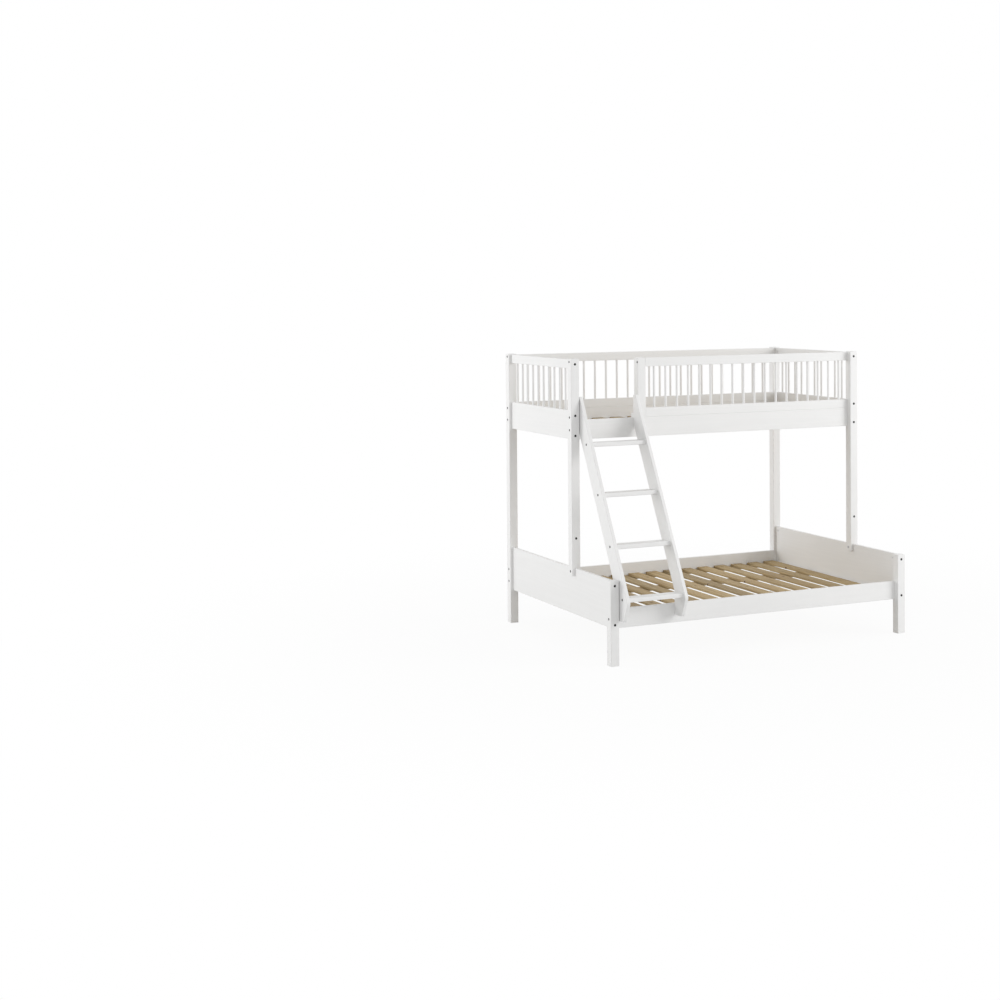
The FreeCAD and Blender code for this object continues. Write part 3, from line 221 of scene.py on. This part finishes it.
def fit(piece, material, slot, body, *nodes):
    """Gives a new piece its finish, and puts it on its body in place of the sub-parts it stands for."""
    piece.data.materials.append(material)
    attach(piece, body)
    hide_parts(*nodes)


def middle(node, axis):
    """The middle of a sub-part's box along one axis."""
    low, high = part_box(node)
    return (low[axis] + high[axis]) / 2


BAR, TENON, TENON_LENGTH, EASE = 0.0075, 0.0050, 0.0120, 0.0006
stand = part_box("back_guard_board")[1].z
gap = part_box("back_top_rail")[0].z - stand
spindle_profile = [
    (TENON, -TENON_LENGTH, 0), (TENON, 0, 0), (BAR - EASE, 0, 0), (BAR, EASE, 0),
    (BAR, gap - EASE, 0), (BAR - EASE, gap, 0), (TENON, gap, 0), (TENON, gap + TENON_LENGTH, 0),
]
BACK_COUNT, GUARD_COUNT, END_COUNT = 23, 18, 10
GUARD_MARGIN = 0.06295
left_post, right_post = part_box("post_back_left")[1].x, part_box("post_back_right")[0].x
back_post, front_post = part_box("post_back_left")[0].y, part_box("post_front_left")[1].y
guard_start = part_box("guard_stile")[1].x + GUARD_MARGIN
back_xs = np.linspace(left_post, right_post, BACK_COUNT + 2)[1:-1]
guard_xs = np.linspace(guard_start, right_post - GUARD_MARGIN, GUARD_COUNT)
end_ys = np.linspace(back_post, front_post, END_COUNT + 2)[1:-1]
rows = {
    "back_spindles": (back_xs, middle("back_guard_board", 1)),
    "guard_spindles": (guard_xs, middle("guard_board", 1)),
    "end_spindles_left": (middle("upper_end_panel_left", 0), end_ys),
    "end_spindles_right": (middle("upper_end_panel_right", 0), end_ys),
}
for node, (xs, ys) in rows.items():
    seats = np.stack(np.broadcast_arrays(xs, ys, stand), axis=-1)
    spindles = turned(node + "_turned", spindle_profile, seats, (0, 0, 1))
    fit(spindles, upright_paint, "white_paint", "frame", node)


# Ledgers and middle beam: battens of bare planed pine that carry the slats.
# The ledgers are screwed to the rails' inner faces; the beam hangs in two folded steel boxes.

EARLY_WOOD, MID_WOOD = (0.510, 0.388, 0.208, 1.0), (0.478, 0.357, 0.186, 1.0)
LATE_WOOD, RING_END = (0.364, 0.252, 0.117, 1.0), (0.474, 0.355, 0.184, 1.0)
MID_PLACE, LATE_PLACE = 0.55, 0.90
HEART_WOOD, KNOT_WOOD = (0.330, 0.225, 0.108, 1.0), (0.135, 0.066, 0.028, 1.0)
PINE_SCALE, PINE_RINGS, FIBRE_SCALE, HEART_SCALE = 8.0, 24.0, 300.0, 17.0
PINE_ROUGH, PINE_SHINE = (0.52, 0.70), 0.35
RING_DEPTH, FIBRE_DEPTH, PINE_BUMP = 0.0001, 0.0002, 0.3
BOARD_TONES, FIBRE_TONES = (0.80, 1.12), (0.90, 1.06)
HEART_EDGES, HEART_SHARE = (0.46, 0.66), 0.55
LOG_JUMP = 7.0
KNOT_CELL = (0.16, 0.42)
KNOT_SIZES, KNOT_EDGE, KNOT_CHANCE = (0.002, 0.009), 0.0035, 0.55
KNOT_REACH, KNOT_PUSH = 0.045, 0.10


def passing(tree, amount, start, end, first, last, how="LINEAR"):
    """From first, where amount is start, to last, where it is end, and level beyond both."""
    sockets = {"Value": amount, "From Min": start, "From Max": end, "To Min": first, "To Max": last}
    return shade(tree, "MapRange", sockets, interpolation_type=how).outputs[0]


def bare_pine(name, stretch, pitch=None, seed=0.0):
    """Planed pine: year rings as contour lines of a slow noise, ring = fraction(24 * noise).

    Each ring darkens slowly and ends in a thin dark line, and broad bands of heartwood run along the
    board. With a pitch, every board in a row along the bed is cut from another place of the log and
    has its own tone, and a few round knots, each at a cell's point, push the rings aside.
    """
    material, tree, shader, where = new_finish(name)
    dark, push = 0.0, 0.0
    own_tone = 0.5
    if pitch:
        x = shade(tree, "SeparateXYZ", {0: where}).outputs[0]
        board = figure(tree, "ROUND", figure(tree, "DIVIDE", x, pitch))
        lot = {"W": figure(tree, "ADD", board, seed)}
        chance = shade(tree, "TexWhiteNoise", lot, noise_dimensions="1D")
        own_tone = chance.outputs["Value"]
        jump = {0: chance.outputs["Color"], "Scale": LOG_JUMP}
        jump = shade(tree, "VectorMath", jump, operation="SCALE").outputs[0]
        where = shade(tree, "VectorMath", {0: where, 1: jump}).outputs[0]
        wide, long = KNOT_CELL
        cells = {0: where, 1: (1 / wide, 1 / long, 0.0)}
        cells = shade(tree, "VectorMath", cells, operation="MULTIPLY").outputs[0]
        knots = shade(tree, "TexVoronoi", {"Vector": cells, "Scale": 1.0}, voronoi_dimensions="2D")
        away = {0: cells, 1: knots.outputs["Position"]}
        away = shade(tree, "VectorMath", away, operation="SUBTRACT").outputs[0]
        away = {0: away, 1: (wide, long, 0.0)}
        away = shade(tree, "VectorMath", away, operation="MULTIPLY").outputs[0]
        away = shade(tree, "VectorMath", {0: away}, operation="LENGTH").outputs["Value"]
        red = shade(tree, "SeparateColor", {0: knots.outputs["Color"]}).outputs[0]
        there = figure(tree, "GREATER_THAN", red, KNOT_CHANCE)
        size = between(tree, red, *KNOT_SIZES)
        near = passing(tree, away, size, figure(tree, "ADD", size, KNOT_EDGE), 1.0, 0.0)
        dark = figure(tree, "MULTIPLY", near, there)
        around = passing(tree, away, 0.0, KNOT_REACH, KNOT_PUSH, 0.0, "SMOOTHSTEP")
        push = figure(tree, "MULTIPLY", around, there)
    slow = figure(tree, "ADD", speckle(tree, where, PINE_SCALE, 1.5, stretch), push)
    ring = figure(tree, "FRACT", figure(tree, "MULTIPLY", slow, PINE_RINGS))
    ramp = tree.nodes.new("ShaderNodeValToRGB")
    ramp.color_ramp.elements[0].color = EARLY_WOOD
    ramp.color_ramp.elements[1].color = RING_END
    for place, colour in ((MID_PLACE, MID_WOOD), (LATE_PLACE, LATE_WOOD)):
        ramp.color_ramp.elements.new(place).color = colour
    tree.links.new(ring, ramp.inputs[0])
    fibre = speckle(tree, where, FIBRE_SCALE, 3.0, stretch)
    board_tone = between(tree, own_tone, *BOARD_TONES)
    streaked = grey(tree, figure(tree, "MULTIPLY", board_tone, between(tree, fibre, *FIBRE_TONES)))
    bands = speckle(tree, where, HEART_SCALE, 1.0, stretch)
    heart = passing(tree, bands, *HEART_EDGES, 0.0, HEART_SHARE)
    wood = blended(tree, heart, ramp.outputs[0], HEART_WOOD)
    wood = blended(tree, 1.0, wood, streaked, "MULTIPLY")
    tree.links.new(blended(tree, dark, wood, KNOT_WOOD), shader.inputs["Base Color"])
    tree.links.new(between(tree, fibre, *PINE_ROUGH), shader.inputs["Roughness"])
    planed = relief(tree, fibre, FIBRE_DEPTH, PINE_BUMP)
    tree.links.new(relief(tree, ring, RING_DEPTH, PINE_BUMP, planed), shader.inputs["Normal"])
    shader.inputs["Specular IOR Level"].default_value = PINE_SHINE
    return material


ALONG_PINE = 0.03
batten_pine = bare_pine("pine_battens", (ALONG_PINE, 1, 1))
dress(batten_pine, "ledger_lower_back", "ledger_lower_front")
dress(batten_pine, "ledger_upper_back", "ledger_upper_front", "slat_beam")

STEEL_GRAIN, STEEL_CLOUD, STEEL_PALER = 900.0, 120.0, 1.12
STEEL_DEPTH, STEEL_BUMP = 0.00005, 0.2


def bare_steel(name, colour, low, high, metal=1.0):
    """Plated or blackened steel: a fine noise varies its gloss and leaves a slight unevenness."""
    material, tree, shader, where = new_finish(name)
    grain = speckle(tree, where, STEEL_GRAIN)
    cloud = speckle(tree, where, STEEL_CLOUD)
    pale = tuple(min(1.0, STEEL_PALER * part) for part in colour)
    tree.links.new(blended(tree, cloud, (*colour, 1.0), (*pale, 1.0)), shader.inputs["Base Color"])
    tree.links.new(between(tree, grain, low, high), shader.inputs["Roughness"])
    tree.links.new(relief(tree, grain, STEEL_DEPTH, STEEL_BUMP), shader.inputs["Normal"])
    shader.inputs["Metallic"].default_value = metal
    return material


zinc = bare_steel("zinc_plate", (0.58, 0.59, 0.61), 0.28, 0.42)
dress(zinc, "beam_hanger_left", "beam_hanger_right")


# Slats: planed pine strips, 82 by 14 mm with rounded edges, fifteen under each mattress.
# They lie across the bed on the ledgers, 134 mm apart, with one screw at each end.

SLAT_COUNT, SLAT_PITCH = 15, 0.1344
for node, seed in (("lower_slats", 3.0), ("upper_slats", 43.0)):
    dress(bare_pine("pine_" + node, (1, ALONG_PINE, 1), SLAT_PITCH, seed), node)


# Bolts: black steel with flat round heads and hexagon sockets, sunk half a millimetre below the wood.
# They draw posts, panels and rails together into barrel nuts.

HEAD_TOP, HEAD_ROUND, HEAD_EDGE = -0.0030, 0.0007, 0.0002
SOCKET, SOCKET_MOUTH, SOCKET_LIP, SOCKET_FLOOR = 0.0023, 0.0026, -0.0029, -0.0010
SHANK, SHANK_END, SHANK_CHAMFER = 0.0030, 0.0022, 0.0008


def bolt_profile(head, length):
    """Down from the socket's floor, over the head and along the shank to its chamfered end."""
    return [
        (SOCKET, SOCKET_FLOOR, 6), (SOCKET, SOCKET_LIP, 6), (SOCKET_MOUTH, HEAD_TOP, 0),
        (head - HEAD_ROUND, HEAD_TOP, 0), (head - HEAD_EDGE, HEAD_TOP + HEAD_EDGE, 0),
        (head, HEAD_TOP + HEAD_ROUND, 0), (head, -HEAD_EDGE, 0), (head - HEAD_EDGE, 0, 0),
        (SHANK, 0, 0), (SHANK, length - SHANK_CHAMFER, 0), (SHANK_END, length, 0),
    ]


HEAD, RECESS = 0.0075, 0.0035
FRAME_BOLT, FORK_BOLT = 0.0875, 0.0540
LOW_BOLTS, HIGH_BOLTS = (0.242, 0.471), (1.307, 1.429, 1.7425)
GUARD_BOLTS, FORK_HEIGHT = (1.4295, 1.7425), 0.479
BLACK_SHINE = 0.22
black = bare_steel("black_steel", (0.010, 0.010, 0.011), 0.48, 0.62, 0.0)
black.node_tree.nodes["Principled BSDF"].inputs["Specular IOR Level"].default_value = BLACK_SHINE
seats, ways = [], []
for side in SIDES:
    x = middle(f"post_back_{side}", 0)
    for post, facing, heights in (
        (f"post_back_{side}", 1, LOW_BOLTS + HIGH_BOLTS),
        (f"leg_front_{side}", 0, LOW_BOLTS),
        (f"post_front_{side}", 0, HIGH_BOLTS),
    ):
        way = -1 if facing else 1
        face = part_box(post)[facing].y
        seats += [(x, face + way * RECESS, height) for height in heights]
        ways += [(0, way, 0) for height in heights]
frame_bolts = turned("frame_bolts_black", bolt_profile(HEAD, FRAME_BOLT), seats, ways)
fit(frame_bolts, black, "black_steel", "frame", "frame_bolts")

stile_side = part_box("guard_stile")[0].x
guard_y = middle("guard_board", 1)
guard_seats = [(stile_side + RECESS, guard_y, height) for height in GUARD_BOLTS]
guard_bolts = turned("guard_bolts_black", bolt_profile(HEAD, FRAME_BOLT), guard_seats, (1, 0, 0))
fit(guard_bolts, black, "black_steel", "frame", "guard_bolts")

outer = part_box("post_front_right")[1].x
fork_y = middle("post_front_left", 1)
fork_seats = [(way * (RECESS - outer), fork_y, FORK_HEIGHT) for way in (1, -1)]
fork_ways = [(1, 0, 0), (-1, 0, 0)]
fork_bolts = turned("fork_bolts_black", bolt_profile(HEAD, FORK_BOLT), fork_seats, fork_ways)
fit(fork_bolts, black, "black_steel", "frame", "fork_bolts")

dress(zinc, "frame_bolt_nuts", "rail_bolt_nuts", "fork_bolt_nuts", "guard_bolt_nuts")


# Rail bolts: black steel with smaller heads, put in from the bed's inside through the lapped ends.
# A thin white cover of moulded plastic is stuck over each head.

SMALL_HEAD, RAIL_BOLT = 0.0060, 0.0320
LAP, RAIL_BORE, UPPER_BORES = 0.0465, 0.275, (1.341, 1.418, 1.756)
lap_x = outer - LAP
seats, ways = [], []
for rail, facing, height, ends in (
    ("lower_back_rail", 0, RAIL_BORE, (-1, 1)),
    ("lower_front_rail", 1, RAIL_BORE, (-1, 1)),
    ("back_bed_rail", 0, UPPER_BORES[0], (-1, 1)),
    ("front_bed_rail", 1, UPPER_BORES[0], (-1, 1)),
    ("back_guard_board", 0, UPPER_BORES[1], (-1, 1)),
    ("guard_board", 1, UPPER_BORES[1], (1,)),
    ("back_top_rail", 0, UPPER_BORES[2], (-1, 1)),
    ("guard_top_rail", 1, UPPER_BORES[2], (1,)),
):
    seats += [(end * lap_x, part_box(rail)[facing].y, height) for end in ends]
    ways += [(0, -1 if facing else 1, 0) for end in ends]
sunk = np.add(seats, RECESS * np.array(ways))
rail_bolts = turned("rail_bolts_black", bolt_profile(SMALL_HEAD, RAIL_BOLT), sunk, ways)
fit(rail_bolts, black, "black_steel", "frame", "rail_bolts")

MOULD_DEPTH, MOULD_BUMP = 0.00005, 0.3


def moulded_plastic(name, dark, pale, scale, low, high):
    """Moulded plastic: the mould's fine even noise varies its tone, its gloss and its surface."""
    material, tree, shader, where = new_finish(name)
    mould = speckle(tree, where, scale)
    tree.links.new(blended(tree, mould, (*dark, 1.0), (*pale, 1.0)), shader.inputs["Base Color"])
    tree.links.new(between(tree, mould, low, high), shader.inputs["Roughness"])
    tree.links.new(relief(tree, mould, MOULD_DEPTH, MOULD_BUMP), shader.inputs["Normal"])
    return material


COVER_DARK, COVER_PALE = (0.790, 0.790, 0.782), (0.826, 0.825, 0.817)
cover_plastic = moulded_plastic("white_plastic", COVER_DARK, COVER_PALE, 1200.0, 0.34, 0.46)
cover_profile = [
    (0.0006, -0.0008, 0), (0.0040, -0.00075, 0), (0.0060, -0.0006, 0),
    (0.0067, -0.0003, 0), (0.0068, 0.0002, 0),
]
fit(turned("rail_bolt_covers", cover_profile, seats, ways), cover_plastic, "white_paint", "frame")


# Screws: zinc-plated countersunk wood screws with cross recesses, driven flush with the wood.
# One holds each slat's end, and seven hold each ledger to its rail.

CROSS_FLOOR, CROSS_MOUTH, CROSS_RIM, CROSS_DEPTH = 0.0012, 0.0023, 0.0028, 0.0012
SCREW_HEAD, SCREW_RIM, SCREW_CONE = 0.0040, 0.0003, 0.0024
SCREW_SHANK, SCREW_TIP, SCREW_POINT = 0.0020, 0.0060, 0.0003
SLAT_SCREW, LEDGER_SCREW, SCREW_SIDES = 0.030, 0.037, 16


def screw_profile(length):
    """From the cross recess's floor over the flat head, down its cone and along the shank to the tip."""
    return [
        (CROSS_FLOOR, CROSS_DEPTH, 4), (CROSS_MOUTH, 0, 4), (CROSS_RIM, 0, 0),
        (SCREW_HEAD - SCREW_RIM, 0, 0), (SCREW_HEAD, SCREW_RIM, 0), (SCREW_SHANK, SCREW_CONE, 0),
        (SCREW_SHANK, length - SCREW_TIP, 0), (SCREW_POINT, length, 0),
    ]


slat_xs = SLAT_PITCH * (np.arange(SLAT_COUNT) - (SLAT_COUNT - 1) / 2)
ledger_xs = SLAT_PITCH * (np.arange(0, SLAT_COUNT - 1, 2) - (SLAT_COUNT - 2) / 2)
slat_seats, ledger_seats, ledger_ways = [], [], []
for bed in ("lower", "upper"):
    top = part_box(bed + "_slats")[1].z
    for ledger, facing in ((f"ledger_{bed}_back", 0), (f"ledger_{bed}_front", 1)):
        slat_seats += [(x, middle(ledger, 1), top) for x in slat_xs]
        ledger_seats += [(x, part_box(ledger)[facing].y, middle(ledger, 2)) for x in ledger_xs]
        ledger_ways += [(0, -1 if facing else 1, 0) for x in ledger_xs]
slat_profile, ledger_profile = screw_profile(SLAT_SCREW), screw_profile(LEDGER_SCREW)
slat_screws = turned("slat_screws_zinc", slat_profile, slat_seats, (0, 0, -1), SCREW_SIDES)
fit(slat_screws, zinc, "zinc_steel", "frame", "slat_screws")
ledger_screws = turned("ledger_screws_zinc", ledger_profile, ledger_seats, ledger_ways, SCREW_SIDES)
fit(ledger_screws, zinc, "zinc_steel", "frame", "ledger_screws")
dress(zinc, "hanger_screws", "stile_screws")


# Dowels: beech pegs, 8 mm thick, glued across the joints and hidden in the closed boards.
# The wood is fine and even, with short darker flakes along the grain.

BEECH_DARK, BEECH_PALE = (0.47, 0.32, 0.18, 1.0), (0.62, 0.45, 0.28, 1.0)
FLAKE_SCALE, FLAKE_STRETCH = 260.0, (1, 1, 0.2)
beech, tree, shader, where = new_finish("beech")
flakes = speckle(tree, where, FLAKE_SCALE, 2.0, FLAKE_STRETCH)
tree.links.new(blended(tree, flakes, BEECH_DARK, BEECH_PALE), shader.inputs["Base Color"])
tree.links.new(between(tree, flakes, 0.5, 0.7), shader.inputs["Roughness"])
dress(beech, "rail_dowels", "board_dowels")


# Caps: low domes of matt black plastic, 15 mm across, moulded with a short skirt.
# They are pressed into the nut bores and the spare holes of the posts.

CAP_DARK, CAP_PALE = (0.006, 0.006, 0.007), (0.012, 0.012, 0.013)
cap_plastic = moulded_plastic("cap_plastic", CAP_DARK, CAP_PALE, 1400.0, 0.50, 0.65)
cap_shader = cap_plastic.node_tree.nodes["Principled BSDF"]
cap_shader.inputs["Specular IOR Level"].default_value = BLACK_SHINE
cap_profile = [
    (0.0008, -0.0005, 0), (0.0030, -0.00045, 0), (0.0052, -0.0002, 0), (0.0068, 0.0002, 0),
    (0.0074, 0.0006, 0), (0.0075, 0.0010, 0), (0.0075, 0.0025, 0),
]
CAP_SINK = 0.0005
SPARE_BORE, FRONT_SPARE_BORE = 0.354, 0.682
seats, ways = [], []
for side, way in zip(SIDES, (1, -1)):
    face = -way * (outer - CAP_SINK)
    for post, heights in (
        (f"post_back_{side}", (RAIL_BORE, SPARE_BORE) + UPPER_BORES),
        (f"leg_front_{side}", (RAIL_BORE,)),
        (f"post_front_{side}", UPPER_BORES),
    ):
        seats += [(face, middle(post, 1), height) for height in heights]
        ways += [(way, 0, 0) for height in heights]
    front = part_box(f"post_front_{side}")[0].y
    seats.append((middle(f"post_front_{side}", 0), front + CAP_SINK, FRONT_SPARE_BORE))
    ways.append((0, 1, 0))
caps = turned("bore_caps_black", cap_profile, seats, ways)
fit(caps, cap_plastic, "cap_plastic", "frame", "bore_caps")


# Ladder: two leaning boards hooked over the upper rail, with four flat treads between them.
# White like the bed; each tread is held by a bolt and two dowels at each end.

LADDER_SLOPE, TREAD_BOLT = 0.539, 0.0535
TREADS = [f"ladder_tread_{number}" for number in (1, 2, 3, 4)]
stile_paint = painted_wood("paint_on_ladder_stiles", (1, 1, ALONG_PAINT), -math.atan(LADDER_SLOPE))
dress(stile_paint, "ladder_stile_left", "ladder_stile_right")
dress(board_paint, *TREADS)
left_face, right_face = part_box("ladder_stile_left")[0].x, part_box("ladder_stile_right")[1].x
seats, ways = [], []
for tread in TREADS:
    for face, way in ((left_face, 1), (right_face, -1)):
        seats.append((face + way * RECESS, middle(tread, 1), middle(tread, 2)))
        ways.append((way, 0, 0))
ladder_bolts = turned("ladder_bolts_black", bolt_profile(HEAD, TREAD_BOLT), seats, ways)
fit(ladder_bolts, black, "black_steel", "ladder", "ladder_bolts")
dress(zinc, "ladder_bolt_nuts")
dress(beech, "ladder_dowels")


# Floor and light: a plain matt white floor that keeps a faint shadow under the bed.
# It fades to pure white away from the bed, and two soft boxes and a white sky light the whole.

def white_to_camera(tree):
    """1 for rays from the camera, from gloss and through glass, and 0 for the rest."""
    rays = tree.nodes.new("ShaderNodeLightPath")
    seen = figure(tree, "MAXIMUM", rays.outputs["Is Camera Ray"], rays.outputs["Is Glossy Ray"])
    return figure(tree, "MAXIMUM", seen, rays.outputs["Is Transmission Ray"])


FLOOR_REACH = 60.0
FLOOR_GREY, PURE_WHITE = (0.82, 0.82, 0.82, 1.0), (1.0, 1.0, 1.0, 1.0)
FLOOR_GLOW, FADE_START, FADE_END = 0.93, 1.2, 4.5
plane = bpy.data.meshes.new("floor")
across = [(-1, -1), (1, -1), (1, 1), (-1, 1)]
corners = [(FLOOR_REACH * x, FLOOR_REACH * y, 0) for x, y in across]
plane.from_pydata(corners, [], [(0, 1, 2, 3)])
floor = bpy.data.objects.new("floor", plane)
bpy.context.scene.collection.objects.link(floor)
floor_finish = bpy.data.materials.new("white_floor")
floor_finish.use_nodes = True
tree = floor_finish.node_tree
tree.nodes.remove(tree.nodes["Principled BSDF"])
matt = shade(tree, "BsdfDiffuse", {"Color": FLOOR_GREY}).outputs[0]
glow = shade(tree, "Emission", {"Color": PURE_WHITE, "Strength": 1.0}).outputs[0]
where = tree.nodes.new("ShaderNodeTexCoord").outputs["Object"]
far = shade(tree, "VectorMath", {0: where}, operation="LENGTH").outputs["Value"]
fade = passing(tree, far, FADE_START, FADE_END, FLOOR_GLOW, 1.0, "SMOOTHSTEP")
share = figure(tree, "MULTIPLY", white_to_camera(tree), fade)
both = shade(tree, "MixShader", {0: share, 1: matt, 2: glow}).outputs[0]
tree.links.new(both, tree.nodes["Material Output"].inputs["Surface"])
plane.materials.append(floor_finish)

AMBIENT = 0.70
world = bpy.data.worlds.new("studio")
world.use_nodes = True
bpy.context.scene.world = world
tree = world.node_tree
sky = tree.nodes["Background"]
sky.inputs["Color"].default_value = PURE_WHITE
tree.links.new(between(tree, white_to_camera(tree), AMBIENT, 1.0), sky.inputs["Strength"])


def lamp(name, place, aim, size, power):
    """A square soft box at place, turned towards aim."""
    light = bpy.data.lights.new(name, "AREA")
    light.size = size
    light.energy = power
    item = bpy.data.objects.new(name, light)
    bpy.context.scene.collection.objects.link(item)
    item.location = place
    x, y, z = np.subtract(place, aim)
    item.rotation_euler = (math.atan2(math.hypot(x, y), z), 0.0, math.atan2(x, -y))


BED_MIDDLE = (0.0, 0.0, 0.9)
lamp("key", (7.6, -6.9, 4.6), BED_MIDDLE, 6.0, 520.0)
lamp("fill", (-9.3, 5.4, 3.4), BED_MIDDLE, 5.0, 400.0)


# Camera: in front of the left end, a little higher than the bed, and turned to the right.
# Its place, turn and lens were worked out from the corners of the posts, rails and panels.

CAMERA_TURN = (88.5186, 0.3837, -26.2305)
sight = bpy.data.cameras.new("camera")
sight.lens = 61.6072
sight.sensor_width = 36.0
sight.shift_x = -0.10
sight.shift_y = -0.17
camera = bpy.data.objects.new("camera", sight)
bpy.context.scene.collection.objects.link(camera)
camera.location = (-5.4661, -9.5755, 2.2184)
camera.rotation_euler = [math.radians(turn) for turn in CAMERA_TURN]
bpy.context.scene.camera = camera
bpy.context.scene.view_settings.view_transform = "Standard"
